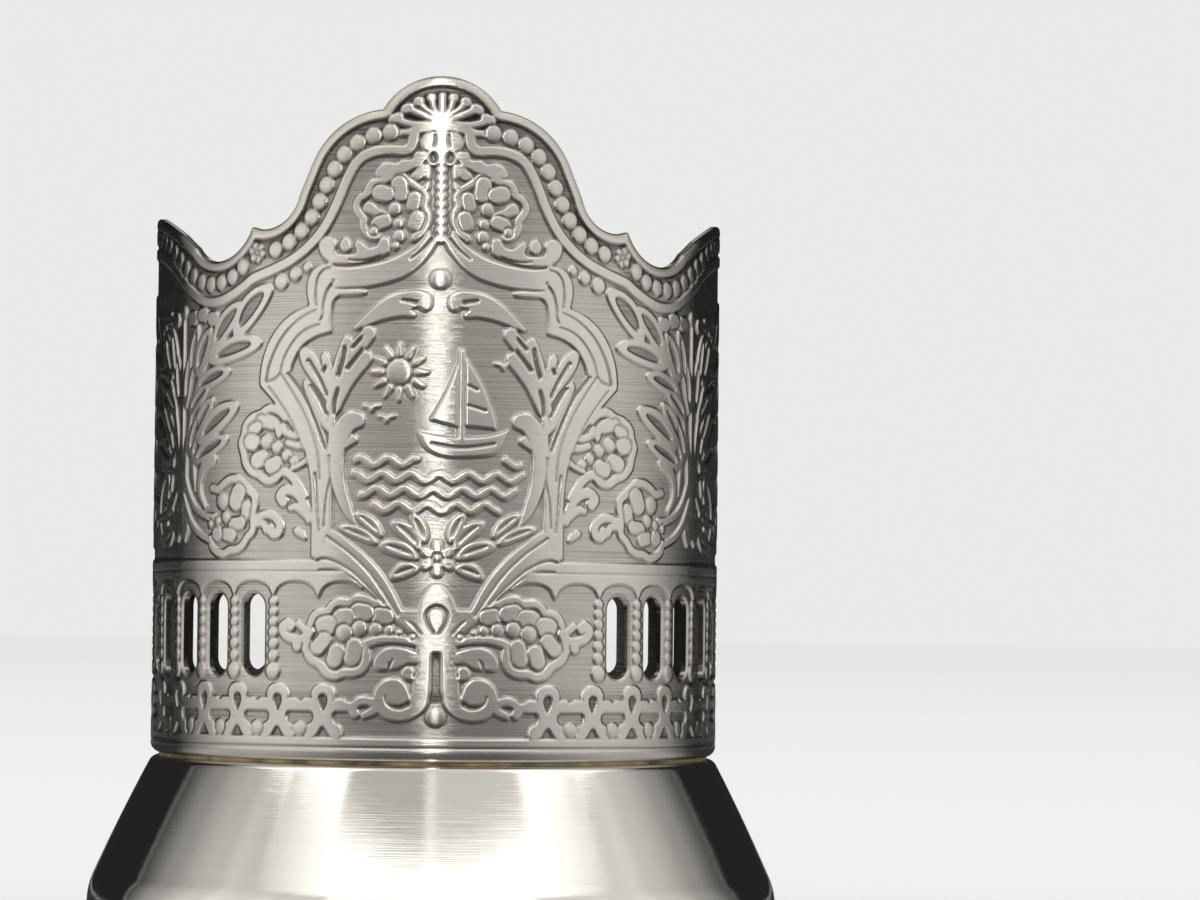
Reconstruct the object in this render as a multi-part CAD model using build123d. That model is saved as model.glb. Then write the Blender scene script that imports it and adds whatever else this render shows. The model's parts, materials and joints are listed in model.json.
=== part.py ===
from build123d import *
import os
from math import cos, radians, sin

# Podstakannik: a pierced sheet-metal sleeve with a crested rim on a flared foot, for a tea glass.
# Millimetres. The axis is Z and the foot stands on z = 0. The crest faces -Y, the handle +Y.

# Sleeve: a strip of stamped sheet bent round, its bottom edge turned in to a flange
BORE_R = 33.5
SLEEVE_WALL = 0.8
SLEEVE_INNER_ROUND = 1.2
FLANGE_REACH = 5.5
BACK_SEAM_W = 0.5

# Rim outline: heights above the joint with the foot, then the drop or rise of each stretch
CREST_H = 79.8
LOBE_RISE = 3.9
SHOULDER_DROP = 6.0
FLANK_DROP = 3.7
HOLLOW_DROP = 3.6
VALLEY_EXIT_DROP = 2.0
RAMP_RISE = 1.75
SIDE_RISE = 2.95
BACK_LOBE_RISE = 3.9

# Rim outline: angle of each corner from the crest, in degrees
LOBE_ANGLE = 11.6
SHOULDER_ANGLE = 25.9
FLANK_ANGLE = 28.7
TIP_ANGLE = 40.0
VALLEY_EXIT_ANGLE = 57.6
RAMP_ANGLE = 63.4
SIDE_ANGLE = 90.0
BACK_ANGLE = 180.0

# Rim outline: how far each stretch bows above (or below) its chord
SHOULDER_BOW = 1.4
HOLLOW_BOW = -1.75
VALLEY_BOW = -2.76
SIDE_BOW = 0.74

# Pierced gallery round the lower sleeve, heights above the joint
SLOT_STEP = 10.0
FIRST_SLOT_ANGLE = 38.5
LAST_SLOT_ANGLE = 158.5
SLOT_W = 3.3
SLOT_FOOT_H = 10.0
SLOT_TOP_H = 19.7

# Bottom moulding of the sleeve
MOULDING_FOOT_H = 2.3
MOULDING_TOP_H = 3.5
MOULDING_RELIEF = 0.4

# Flared foot, spun from sheet with a ledge on top and a lip turned in below
BASE_H = 22.0
BASE_WALL = 0.9
FOOT_FLARE = 7.7
FOOT_BAND_H = 6.1
FOOT_LIP = 2.5
LEDGE_REACH = 10.0
SHOULDER_INNER_ROUND = 0.5
FOOT_INNER_ROUND = 8.0
LIP_INNER_ROUND = 0.5

# Floor disc under the glass, with a hole to push the glass out through
SEAT_WALL = 0.8
SEAT_HOLE_R = 19.0
SEAT_PLAY = 0.1

# Solder films
RING_SOLDER = 0.25
RING_SOLDER_FILLET = 1.1
PAD_SOLDER = 0.2
PAD_SOLDER_MARGIN = 0.6
THUMB_SOLDER = 0.2

# Handle: a strap bent to an ear, with a pad at each end
STRAP_W = 9.0
STRAP_T = 2.4
STRAP_EDGE_ROUND = 0.8
HANDLE_TOP_H = 53.5
HANDLE_ARM = 19.0
HANDLE_TOP_BEND = 13.0
HANDLE_DROP = 1.5
HANDLE_BELLY_BEND = 16.0
HANDLE_BELLY_ANGLE = 50.0
HANDLE_SLANT = 5.0
HANDLE_THROAT_BEND = 18.0
PAD_W = 13.0
PAD_H = 15.0
PAD_T = 1.2
PAD_ROUND = 4.0

# Thumb rest on the handle's upper arm
THUMB_W = 18.0
THUMB_T = 1.6
THUMB_START = 7.0
THUMB_FLAT = 17.0
THUMB_LIP_R = 12.0
THUMB_LIP_ANGLE = 45.0
THUMB_WAIST_BOW = 1.6
THUMB_TIP_BOW = 2.2

# Worked out from the sizes above
SLEEVE_R = BORE_R + SLEEVE_WALL
FLANGE_R = BORE_R - FLANGE_REACH
SLEEVE_FOOT_Z = BASE_H + RING_SOLDER
SLEEVE_TOP_Z = BASE_H + CREST_H
FLANGE_TOP_Z = SLEEVE_FOOT_Z + SLEEVE_WALL
SLEEVE_OUTER_ROUND = SLEEVE_INNER_ROUND + SLEEVE_WALL
FOOT_R = SLEEVE_R + FOOT_FLARE
LEDGE_R = SLEEVE_R - LEDGE_REACH
PAD_FACE_R = SLEEVE_R + PAD_SOLDER
CUT_MARGIN = 2.0
RIGHT_ANGLE = 90.0


def on_cylinder(radius, angle, height):
    """A point at an angle from the front, turning towards +X, at a height above the joint."""
    turn = radians(angle)
    return Vector(radius * sin(turn), -radius * cos(turn), BASE_H + height)


def ring(inner_r, outer_r, foot_z, height):
    """A plain ring about Z."""
    tube = Cylinder(outer_r, height) - Cylinder(inner_r, height)
    return Pos(0, 0, foot_z + height / 2) * tube


def rim_stretches():
    """The front-to-back half of the rim: start and end as (angle, height), and the bow."""
    lobe = (LOBE_ANGLE, CREST_H - LOBE_RISE)
    shoulder = (SHOULDER_ANGLE, lobe[1] - SHOULDER_DROP)
    flank = (FLANK_ANGLE, shoulder[1] - FLANK_DROP)
    tip = (TIP_ANGLE, flank[1] - HOLLOW_DROP)
    valley_exit = (VALLEY_EXIT_ANGLE, tip[1] - VALLEY_EXIT_DROP)
    ramp = (RAMP_ANGLE, valley_exit[1] + RAMP_RISE)
    side = (SIDE_ANGLE, ramp[1] + SIDE_RISE)

    def behind(point):
        return (2 * SIDE_ANGLE - point[0], point[1])

    return [
        ((-lobe[0], lobe[1]), lobe, LOBE_RISE),
        (lobe, shoulder, SHOULDER_BOW),
        (shoulder, flank, 0.0),
        (flank, tip, HOLLOW_BOW),
        (tip, valley_exit, VALLEY_BOW),
        (valley_exit, ramp, 0.0),
        (ramp, side, SIDE_BOW),
        (side, behind(ramp), SIDE_BOW),
        (behind(ramp), behind(valley_exit), 0.0),
        (behind(valley_exit), behind(tip), VALLEY_BOW),
        (behind(tip), (2 * BACK_ANGLE - behind(tip)[0], tip[1]), BACK_LOBE_RISE),
    ]


def bowed(first, last, bow):
    """A line, or an arc whose middle stands off its chord to the left by the bow."""
    if bow == 0:
        return Line(first, last)
    chord = last - first
    sideways = Vector(-chord.Y, chord.X) / chord.length
    return ThreePointArc(first, (first + last) / 2 + sideways * bow, last)


def flat_stretch(start, end, bow):
    """One stretch of the rim unrolled flat: across is millimetres round the sleeve."""
    across = radians(1) * SLEEVE_R
    first = Vector(start[0] * across, start[1])
    last = Vector(end[0] * across, end[1])
    return bowed(first, last, bow)


def rim_cutter(start, end, bow):
    """What is above one stretch of the rim, from inside the wall to outside it."""
    flat = flat_stretch(start, end, bow)
    steps = 12
    unrolled = [flat @ (step / steps) for step in range(steps + 1)]
    edges = []
    for radius in (BORE_R - CUT_MARGIN, SLEEVE_R + CUT_MARGIN):
        points = []
        for point in unrolled:
            angle = point.X / (radians(1) * SLEEVE_R)
            points.append(on_cylinder(radius, angle, point.Y))
        edges.append(Edge.make_spline(points))
    strip = Face.make_surface_from_curves(edges[0], edges[1])
    return extrude(strip, CREST_H, dir=(0, 0, 1))


def slot_cutter(angle):
    """One upright opening of the gallery, cut through the wall from its middle outwards."""
    middle = on_cylinder(BORE_R - CUT_MARGIN, angle, (SLOT_FOOT_H + SLOT_TOP_H) / 2)
    outwards = Vector(middle.X, middle.Y, 0)
    face = Plane(origin=middle, x_dir=(0, 0, 1), z_dir=outwards)
    outline = SlotOverall(SLOT_TOP_H - SLOT_FOOT_H, SLOT_W)
    return extrude(face * outline, SLEEVE_WALL + 2 * CUT_MARGIN)


def slot_angles():
    """Every slot's angle: the gallery runs from beside the front ornament to near the handle."""
    count = int((LAST_SLOT_ANGLE - FIRST_SLOT_ANGLE) / SLOT_STEP + 0.5) + 1
    half = [FIRST_SLOT_ANGLE + SLOT_STEP * place for place in range(count)]
    return [side * angle for angle in half for side in (1, -1)]


def closed_sleeve():
    """The sleeve before its back seam is opened."""
    inside = FilletPolyline(
        (FLANGE_R, FLANGE_TOP_Z),
        (BORE_R, FLANGE_TOP_Z),
        (BORE_R, SLEEVE_TOP_Z + CUT_MARGIN),
        radius=SLEEVE_INNER_ROUND,
    )
    outside = FilletPolyline(
        (FLANGE_R, SLEEVE_FOOT_Z),
        (SLEEVE_R, SLEEVE_FOOT_Z),
        (SLEEVE_R, SLEEVE_TOP_Z + CUT_MARGIN),
        radius=SLEEVE_OUTER_ROUND,
    )
    ends = [Line(inside @ 0, outside @ 0), Line(inside @ 1, outside @ 1)]
    profile = make_face([*inside.edges(), *outside.edges(), *ends])
    shell = revolve(Plane.XZ * profile, Axis.Z)
    moulding_h = MOULDING_TOP_H - MOULDING_FOOT_H
    moulding = ring(BORE_R, SLEEVE_R + MOULDING_RELIEF, BASE_H + MOULDING_FOOT_H, moulding_h)
    cutters = []
    for start, end, bow in rim_stretches():
        cutters.append(rim_cutter(start, end, bow))
        if start[0] > 0 and end[0] < BACK_ANGLE:
            cutters.append(mirror(cutters[-1], Plane.YZ))
    for angle in slot_angles():
        cutters.append(slot_cutter(angle))
    return shell + moulding - cutters


def back_seam():
    """The gap between the strip's two ends, at the back."""
    reach = SLEEVE_R + CUT_MARGIN
    gap = Box(BACK_SEAM_W, reach, SLEEVE_TOP_Z)
    return Pos(0, reach / 2, SLEEVE_TOP_Z / 2) * gap


def base_skirt():
    """The flared foot: ledge, cone, upright band and lip in one wall."""
    outside = FilletPolyline(
        (LEDGE_R, BASE_H),
        (SLEEVE_R, BASE_H),
        (FOOT_R, FOOT_BAND_H),
        (FOOT_R, 0),
        (FOOT_R - FOOT_LIP, 0),
        radius=[
            SHOULDER_INNER_ROUND + BASE_WALL,
            FOOT_INNER_ROUND + BASE_WALL,
            LIP_INNER_ROUND + BASE_WALL,
        ],
    )
    wall = offset(outside, BASE_WALL, side=Side.RIGHT)
    return revolve(Plane.XZ * make_face(wall.edges()), Axis.Z)


def base_solder_ring():
    """The solder between the sleeve's turned-in edge and the foot's ledge."""
    bend_r = SLEEVE_R - SLEEVE_OUTER_ROUND
    bend_z = SLEEVE_FOOT_Z + SLEEVE_OUTER_ROUND
    outer_r = bend_r + RING_SOLDER_FILLET

    def under_bend(reach):
        drop = (SLEEVE_OUTER_ROUND**2 - reach**2) ** 0.5
        return (bend_r + reach, bend_z - drop)

    edge = under_bend(RING_SOLDER_FILLET)
    bend = ThreePointArc((bend_r, SLEEVE_FOOT_Z), under_bend(RING_SOLDER_FILLET / 2), edge)
    rest = Polyline(
        edge, (outer_r, BASE_H), (FLANGE_R, BASE_H), (FLANGE_R, SLEEVE_FOOT_Z), (bend_r, SLEEVE_FOOT_Z)
    )
    return revolve(Plane.XZ * make_face([bend, *rest.edges()]), Axis.Z)


def seat_disc():
    """The floor that the glass stands on, lying on the sleeve's flange."""
    outer_r = BORE_R - SLEEVE_INNER_ROUND - SEAT_PLAY
    return ring(SEAT_HOLE_R, outer_r, FLANGE_TOP_Z, SEAT_WALL)


def pad(height, inner_r, thick, margin):
    """A rounded patch that follows the sleeve at the back, grown by a margin."""
    outline = RectangleRounded(PAD_W + 2 * margin, PAD_H + 2 * margin, PAD_ROUND + margin)
    face = Plane(origin=(0, 0, BASE_H + height), x_dir=(-1, 0, 0), z_dir=(0, 1, 0))
    block = extrude(face * outline, inner_r + thick + CUT_MARGIN)
    tall = PAD_H + 2 * margin
    return ring(inner_r, inner_r + thick, BASE_H + height - tall / 2, tall) & block


def handle_line():
    """The middle line of the ear: out along the arm, round by a half turn and back to the sleeve."""
    inside = SLEEVE_R - CUT_MARGIN
    top_z = BASE_H + HANDLE_TOP_H
    runs = [Line((inside, top_z), (SLEEVE_R + HANDLE_ARM, top_z))]
    throat_angle = RIGHT_ANGLE - HANDLE_BELLY_ANGLE
    for bend, angle, straight in (
        (HANDLE_TOP_BEND, RIGHT_ANGLE, HANDLE_DROP),
        (HANDLE_BELLY_BEND, HANDLE_BELLY_ANGLE, HANDLE_SLANT),
        (HANDLE_THROAT_BEND, throat_angle, 0),
    ):
        runs.append(JernArc(runs[-1] @ 1, runs[-1] % 1, bend, -angle))
        if straight:
            runs.append(Line(runs[-1] @ 1, runs[-1] @ 1 + runs[-1] % 1 * straight))
    foot = runs[-1] @ 1
    runs.append(Line(foot, (inside, foot.Y)))
    return Plane.YZ * Wire(runs)


def handle_foot_h():
    """How high above the joint the handle's lower end meets the sleeve."""
    return (handle_line() @ 1).Z - BASE_H


def handle_strap():
    """The ear of the handle with its two end pads."""
    line = handle_line()
    start = Plane(origin=line @ 0, x_dir=(1, 0, 0), z_dir=line % 0)
    strap = sweep(start * RectangleRounded(STRAP_W, STRAP_T, STRAP_EDGE_ROUND), path=line)
    strap -= Cylinder(PAD_FACE_R, 2 * SLEEVE_TOP_Z)
    for height in (HANDLE_TOP_H, handle_foot_h()):
        strap += pad(height, PAD_FACE_R, PAD_T, 0)
    return strap


def thumb_plan():
    """The thumb rest seen from above, as a leaf: narrow at the sleeve, wide where it turns up."""
    near = SLEEVE_R + THUMB_START
    wide = near + THUMB_FLAT
    tip = Vector(0, wide + THUMB_LIP_R * sin(radians(THUMB_LIP_ANGLE)))
    outline = [Line((-STRAP_W / 2, near), (STRAP_W / 2, near))]
    for side in (1, -1):
        neck = Vector(side * STRAP_W / 2, near)
        widest = Vector(side * THUMB_W / 2, wide)
        outline.append(bowed(neck, widest, side * THUMB_WAIST_BOW))
        outline.append(bowed(widest, tip, -side * THUMB_TIP_BOW))
    return extrude(make_face(outline), 2 * SLEEVE_TOP_Z)


def thumb_rest():
    """A leaf plate on the upper arm, its outer end turned up."""
    foot_z = BASE_H + HANDLE_TOP_H + STRAP_T / 2 + THUMB_SOLDER
    near = SLEEVE_R + THUMB_START
    flat_end = near + THUMB_FLAT
    flat = Line((near, foot_z), (flat_end, foot_z))
    lip = JernArc(flat @ 1, (1, 0), THUMB_LIP_R, THUMB_LIP_ANGLE)
    wall = offset(Wire([flat, lip]), THUMB_T, side=Side.LEFT)
    side_view = Plane.YZ * make_face(wall.edges())
    return extrude(side_view, THUMB_W, both=True) & thumb_plan()


def thumb_solder():
    """The film between the thumb rest and the arm's flat top."""
    near = SLEEVE_R + THUMB_START
    arm_end = SLEEVE_R + HANDLE_ARM
    width = STRAP_W - 2 * STRAP_EDGE_ROUND
    film = Box(width, arm_end - near, THUMB_SOLDER)
    foot_z = BASE_H + HANDLE_TOP_H + STRAP_T / 2
    return Pos(0, (near + arm_end) / 2, foot_z + THUMB_SOLDER / 2) * film


def main():
    whole = closed_sleeve()
    gap = back_seam()
    nodes = {
        "sleeve": whole - gap,
        "seam_solder": whole & gap,
        "base_skirt": base_skirt(),
        "base_solder_ring": base_solder_ring(),
        "seat_disc": seat_disc(),
        "handle_strap": handle_strap(),
        "upper_handle_solder": pad(HANDLE_TOP_H, SLEEVE_R, PAD_SOLDER, PAD_SOLDER_MARGIN),
        "lower_handle_solder": pad(handle_foot_h(), SLEEVE_R, PAD_SOLDER, PAD_SOLDER_MARGIN),
        "thumb_rest": thumb_rest(),
        "thumb_rest_solder": thumb_solder(),
    }
    os.makedirs("parts", exist_ok=True)
    for name, solid in nodes.items():
        export_step(solid, os.path.join("parts", name + ".step"))


main()
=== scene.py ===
"""Dresses the tea glass holder: chased sleeve, spun foot, seat, ear handle, and a plain studio.

Shapes are drawn in millimetres and become metres when a mesh is made. The sleeve's ornament is drawn flat
first: across is millimetres round the sleeve from the middle of the front, up is millimetres above
the soldered joint.
"""

import json
from math import asin, atan, cos, hypot, pi, radians, sin, tau

import bpy
import numpy as np
from bpy.props import FloatProperty, FloatVectorProperty, PointerProperty
from mathutils import Matrix, Vector


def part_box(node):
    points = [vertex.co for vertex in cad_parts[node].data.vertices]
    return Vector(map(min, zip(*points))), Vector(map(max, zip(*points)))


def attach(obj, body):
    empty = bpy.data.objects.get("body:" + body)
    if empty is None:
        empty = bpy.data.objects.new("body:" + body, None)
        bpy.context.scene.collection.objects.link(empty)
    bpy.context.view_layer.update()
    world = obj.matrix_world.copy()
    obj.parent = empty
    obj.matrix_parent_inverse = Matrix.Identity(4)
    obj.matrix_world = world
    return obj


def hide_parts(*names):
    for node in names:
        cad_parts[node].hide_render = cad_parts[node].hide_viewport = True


bl_info = {
    "name": "Tea glass holder",
    "version": (1, 0, 0),
    "blender": (4, 5, 0),
    "location": "View3D > Sidebar > Glass Holder",
    "description": "Chased sleeve, spun foot, seat and ear handle of a tea glass holder, with a plain studio",
    "category": "Add Mesh",
}

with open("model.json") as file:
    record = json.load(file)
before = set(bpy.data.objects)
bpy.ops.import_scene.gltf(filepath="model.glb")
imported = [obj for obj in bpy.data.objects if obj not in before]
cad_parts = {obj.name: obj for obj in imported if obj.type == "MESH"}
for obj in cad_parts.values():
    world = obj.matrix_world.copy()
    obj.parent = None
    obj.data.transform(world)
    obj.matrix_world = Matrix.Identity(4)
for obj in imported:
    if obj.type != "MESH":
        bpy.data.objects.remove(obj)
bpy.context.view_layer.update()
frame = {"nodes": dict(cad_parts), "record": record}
MM = 0.001

# Sizes that come from the frame
JOINT_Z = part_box("base_skirt")[1].z / MM
FOOT_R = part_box("base_skirt")[1].x / MM
SEAT_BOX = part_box("seat_disc")
SLEEVE_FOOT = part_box("sleeve")[0].z / MM - JOINT_Z
BORE_R = frame["record"]["mounts"][0]["dims"]["r_mm"]

# Sleeve: wall, turned-in flange and back seam
WALL = 0.8
SLEEVE_R = BORE_R + WALL
BEND_R = 1.3
FLANGE_REACH = 5.5
SEAM_W = 0.5

# Rim: the crest in front, then corners as (angle, height) and the bow of each stretch
CREST_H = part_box("sleeve")[1].z / MM - JOINT_Z
LOBE = (11.6, CREST_H - 3.9)
SHOULDER = (25.9, LOBE[1] - 6.0)
FLANK = (28.7, SHOULDER[1] - 3.7)
TIP = (40.0, FLANK[1] - 3.6)
VALLEY_EXIT = (57.6, TIP[1] - 2.0)
RAMP = (63.4, VALLEY_EXIT[1] + 1.75)
SIDE_PEAK = (90.0, RAMP[1] + 2.95)
LOBE_BOW = 3.9
SHOULDER_BOW = 1.4
HOLLOW_BOW = -1.75
VALLEY_BOW = -2.76
SIDE_BOW = 0.74

# Gallery of slots
SLOT_STEP = 10.0
FIRST_SLOT = 38.5
SLOTS = 13
SLOT_W = 3.3
SLOT_FOOT = 10.0
SLOT_TOP = 19.7
GALLERY_TOP = 20.6

# The flat drawing
FACE_R = 34.1
STEP = 0.1
DRAWN_TOP = 81.0
HALF_ROUND = pi * FACE_R
QUARTER = HALF_ROUND / 2
PITCH = FACE_R * radians(SLOT_STEP)
FAR = -4.0
MARGIN = 1.2
STEM = 36.9
# Every raised shape is drawn at its flat top and grows by this much to its foot; a groove shrinks
GROWTH = 0.1
CUT_SHRINK = 0.03
PEARL_FALL = 0.45
# Petals are swelled by this much all over, and lie over other shapes with a gap
PETAL_SWELL = 0.3
PETAL_GAP = 0.22
# Leaves: how blunt they are, and where the hollow along the middle starts, ends, shifts and bends
BLUNTNESS = 0.52
VEIN_FROM = 0.2
VEIN_TO = 0.82
VEIN_SHIFT = 0.62
VEIN_BEND = 0.4
# Rim: half the roll's width, its rounded crown, the stained channel beside it, the ridge and the pearls
ROLL_HALF = 1.15
ROLL_CROWN = 0.95
ROLL_MARGIN = 2.5
RIM_FALL = 0.75
CHANNEL_REACH = 3.6
CHANNEL_STAIN = 0.17
CHANNEL_MARGIN = 4.5
RIDGE_W = 1.1
RIM_PEARL_R = 1.02
# Lattice: angle of its first loop and the loops on each half
FIRST_LOOP = 22.2
LOOPS = 17


def across_at(angle):
    """Millimetres round the ornament's face for an angle in degrees from the front."""
    return FACE_R * radians(angle)


FIRST_ACROSS = across_at(FIRST_SLOT)


# Curves of the flat drawing


def smooth(points, closed=False, cuts=5):
    """A soft curve through the points; a point given twice is a corner."""
    p = np.array(points, float)
    n = len(p)
    if n < 3:
        return p
    out = []
    for i in range(n if closed else n - 1):
        if closed:
            a, b, c, d = p[i - 1], p[i], p[(i + 1) % n], p[(i + 2) % n]
        else:
            a, b, c, d = p[max(i - 1, 0)], p[i], p[i + 1], p[min(i + 2, n - 1)]
        if (b == c).all():
            continue
        for t in np.arange(cuts) / cuts:
            bend = (2 * a - 5 * b + 4 * c - d) * t**2 + (3 * b - a - 3 * c + d) * t**3
            out.append(b + 0.5 * ((c - a) * t + bend))
    if not closed:
        out.append(p[-1])
    return np.array(out)


def bowed(first, last, bow, cuts=16):
    """A line, or an arc whose middle stands off its chord to the left by the bow."""
    first, last = np.array(first, float), np.array(last, float)
    if bow == 0:
        return np.array([first, last])
    chord = last - first
    size = hypot(*chord)
    along, left = chord / size, np.array([-chord[1], chord[0]]) / size
    half = 2 * atan(2 * bow / size)
    radius = size / 2 / sin(half)
    centre = (first + last) / 2 + left * (bow - radius)
    turns = np.linspace(-half, half, cuts + 1)
    return centre + radius * (np.outer(np.sin(turns), along) + np.outer(np.cos(turns), left))


def spaced(points, gap, count):
    """Evenly spaced spots along a soft curve, from its first point on."""
    path = smooth(points, cuts=12)
    walked = np.concatenate([[0], np.cumsum(np.hypot(*np.diff(path, axis=0).T))])
    spots = gap * np.arange(count)
    return np.stack([np.interp(spots, walked, path[:, 0]), np.interp(spots, walked, path[:, 1])], axis=1)


def rim_line():
    """The right half of the rim in the flat drawing, from the crest's left lobe to past the back's middle."""

    def behind(corner):
        return (2 * SIDE_PEAK[0] - corner[0], corner[1])

    stretches = [
        ((-LOBE[0], LOBE[1]), LOBE, LOBE_BOW),
        (LOBE, SHOULDER, SHOULDER_BOW),
        (SHOULDER, FLANK, 0),
        (FLANK, TIP, HOLLOW_BOW),
        (TIP, VALLEY_EXIT, VALLEY_BOW),
        (VALLEY_EXIT, RAMP, 0),
        (RAMP, SIDE_PEAK, SIDE_BOW),
        (SIDE_PEAK, behind(RAMP), SIDE_BOW),
        (behind(RAMP), behind(VALLEY_EXIT), 0),
        (behind(VALLEY_EXIT), behind(TIP), VALLEY_BOW),
        (behind(TIP), (360 - behind(TIP)[0], TIP[1]), LOBE_BOW),
    ]
    wall_mm = radians(1) * SLEEVE_R
    line = []
    for start, end, bow in stretches:
        run = bowed((start[0] * wall_mm, start[1]), (end[0] * wall_mm, end[1]), bow)
        line.extend(run[:-1])
    line.append(run[-1])
    return np.array(line) * (FACE_R / SLEEVE_R, 1)


def to_segment(across, up, a, b):
    """How far along a segment the nearest point is, and how far away."""
    dx, dy = b[0] - a[0], b[1] - a[1]
    size = max(dx * dx + dy * dy, 1e-12)
    t = np.clip(((across - a[0]) * dx + (up - a[1]) * dy) / size, 0, 1)
    return t, np.hypot(across - a[0] - t * dx, up - a[1] - t * dy)


def to_path(across, up, path):
    """How far away the nearest point of a path is."""
    away = np.full(across.shape, -FAR, np.float32)
    for a, b in zip(path[:-1], path[1:]):
        away = np.minimum(away, to_segment(across, up, a, b)[1])
    return away


class Carving:
    """Half of the ornament as distances on a fine raster: in each layer, positive inside a shape."""

    def __init__(self):
        self.first = 0
        self.columns = int(round((HALF_ROUND + 2 * STEP) / STEP)) + 1
        self.rows = int(DRAWN_TOP / STEP) + 1
        self.raised = np.full((self.rows, self.columns), FAR, np.float32)
        self.cut = self.raised.copy()
        self.stain = self.raised.copy()
        self.hole = self.raised.copy()
        self.crown = np.ones_like(self.raised)

    def window(self, points, margin):
        """The part of the raster around some points: its rows and columns, and where they lie."""
        low = (np.min(points, axis=0) - margin) / STEP
        high = (np.max(points, axis=0) + margin) / STEP
        c0 = max(int(low[0]) - self.first, 0)
        c1 = max(min(int(high[0]) + 2 - self.first, self.columns), c0)
        r0 = max(int(low[1]), 0)
        r1 = max(min(int(high[1]) + 2, self.rows), r0)
        across, up = np.meshgrid((np.arange(c0, c1) + self.first) * STEP, np.arange(r0, r1) * STEP)
        return (slice(r0, r1), slice(c0, c1)), across, up

    def put(self, points, margin, distance, layer, over=False):
        """Adds a shape, given by its distance, around the points of a layer; over others, it trims them."""
        spot, across, up = self.window(points, margin)
        if across.size:
            inside = distance(across, up)
            under = np.minimum(layer[spot], -inside - PETAL_GAP) if over else layer[spot]
            layer[spot] = np.maximum(under, inside)

    def line(self, points, width, end_width=None, engrave=False, soft=True, layer=None, over=False):
        """A line through the points, its width going from one value to another."""
        path = smooth(points) if soft else np.array(points, float)
        end_width = width if end_width is None else end_width
        half = np.linspace(width, end_width, len(path)) / 2

        def distance(across, up):
            best = np.full(across.shape, FAR, np.float32)
            for a, b, ha, hb in zip(path[:-1], path[1:], half[:-1], half[1:]):
                t, away = to_segment(across, up, a, b)
                best = np.maximum(best, ha + (hb - ha) * t - away)
            return best

        if layer is None:
            layer = self.cut if engrave else self.raised
        self.put(path, max(width, end_width) / 2 + MARGIN, distance, layer, over)

    def lines(self, strokes, engrave=False):
        """Lines, each as (points, width, end width)."""
        for points, width, end_width in strokes:
            self.line(points, width, end_width, engrave)

    def fill(self, points, engrave=False, soft=True, stain=False):
        """A shape inside a closed outline: raised, engraved, or a stain on the ground."""
        ring = smooth(points, closed=True) if soft else np.array(points, float)

        def distance(across, up):
            away = np.full(across.shape, -FAR, np.float32)
            inside = np.zeros(across.shape, bool)
            for a, b in zip(ring, np.roll(ring, -1, axis=0)):
                away = np.minimum(away, to_segment(across, up, a, b)[1])
                if a[1] != b[1]:
                    edge = a[0] + (up - a[1]) * (b[0] - a[0]) / (b[1] - a[1])
                    inside ^= ((a[1] > up) != (b[1] > up)) & (across < edge)
            return np.where(inside, away, -away)

        self.put(ring, MARGIN, distance, self.stain if stain else self.cut if engrave else self.raised)

    def bead(self, across, up, radius):
        """A domed pearl."""
        flat = radius - GROWTH

        def distance(x, y):
            return flat - np.hypot(x - across, y - up)

        self.put([(across, up)], radius + MARGIN, distance, self.raised, True)
        spot, x, y = self.window([(across, up)], radius)
        away = np.hypot(x - across, y - up) / radius
        dome = 1 - PEARL_FALL * (1 - np.sqrt(np.maximum(1 - away**2, 0)))
        self.crown[spot] = np.where(away < 1, np.minimum(self.crown[spot], dome), self.crown[spot])

    def beads(self, spots):
        """Round bosses, each as (across, up, radius)."""
        for across, up, radius in spots:
            self.bead(across, up, radius)

    def oval(self, across, up, wide, tall, tilt=0, over=False):
        """A long boss with round ends: wide and tall are its whole sizes, tilt turns it anticlockwise."""
        reach = abs(wide - tall) / 2
        turn = radians(tilt + (0 if wide >= tall else 90))
        dx, dy = reach * cos(turn), reach * sin(turn)
        ends = [(across - dx, up - dy), (across + dx, up + dy)]
        self.line(ends, min(wide, tall), soft=False, over=over)

    def ovals(self, spots):
        """Long bosses, each as (across, up, wide, tall, tilt)."""
        for across, up, wide, tall, tilt in spots:
            self.oval(across, up, wide + PETAL_SWELL, tall + PETAL_SWELL, tilt, True)

    def blade(self, root, tip, width, bend, engrave=False):
        """A leaf's outline, filled; bend bows it to the left of its way to the tip."""
        along = tip - root
        left = np.array([-along[1], along[0]]) / hypot(*along)
        spots = (1 - np.cos(np.linspace(0, pi, 13))) / 2
        bulge = np.sin(pi * spots) ** BLUNTNESS * width / 2
        spine = root + np.outer(spots, along) + np.outer(4 * spots * (1 - spots) * bend, left)
        upper = spine + np.outer(bulge, left)
        lower = spine - np.outer(bulge, left)
        self.fill(np.vstack([upper, lower[-2:0:-1]]), engrave)

    def leaf(self, root, tip, width, bend, vein=0.3):
        """A leaf with a hollow along its middle."""
        root, tip = np.array(root, float), np.array(tip, float)
        self.blade(root, tip, width, bend)
        along = tip - root
        shift = VEIN_SHIFT * bend * (np.array([-along[1], along[0]]) / hypot(*along))
        low, high = root + VEIN_FROM * along + shift, root + VEIN_TO * along + shift
        self.blade(low, high, vein, VEIN_BEND * bend, True)

    def mirrored(self):
        """The whole round from its right half."""
        whole = Carving()
        whole.first = 1 - self.columns
        whole.columns = 2 * self.columns - 1
        for layer in ("raised", "cut", "stain", "hole", "crown"):
            right = getattr(self, layer)
            setattr(whole, layer, np.concatenate([right[:, :0:-1], right], axis=1))
        return whole


# Motifs of the ornament, each on the right half unless it says otherwise


def both_sides(right):
    """A closed outline from its right half, which is mirrored about nought."""
    return right + [(-across, up) for across, up in right[::-1] if across]


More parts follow.
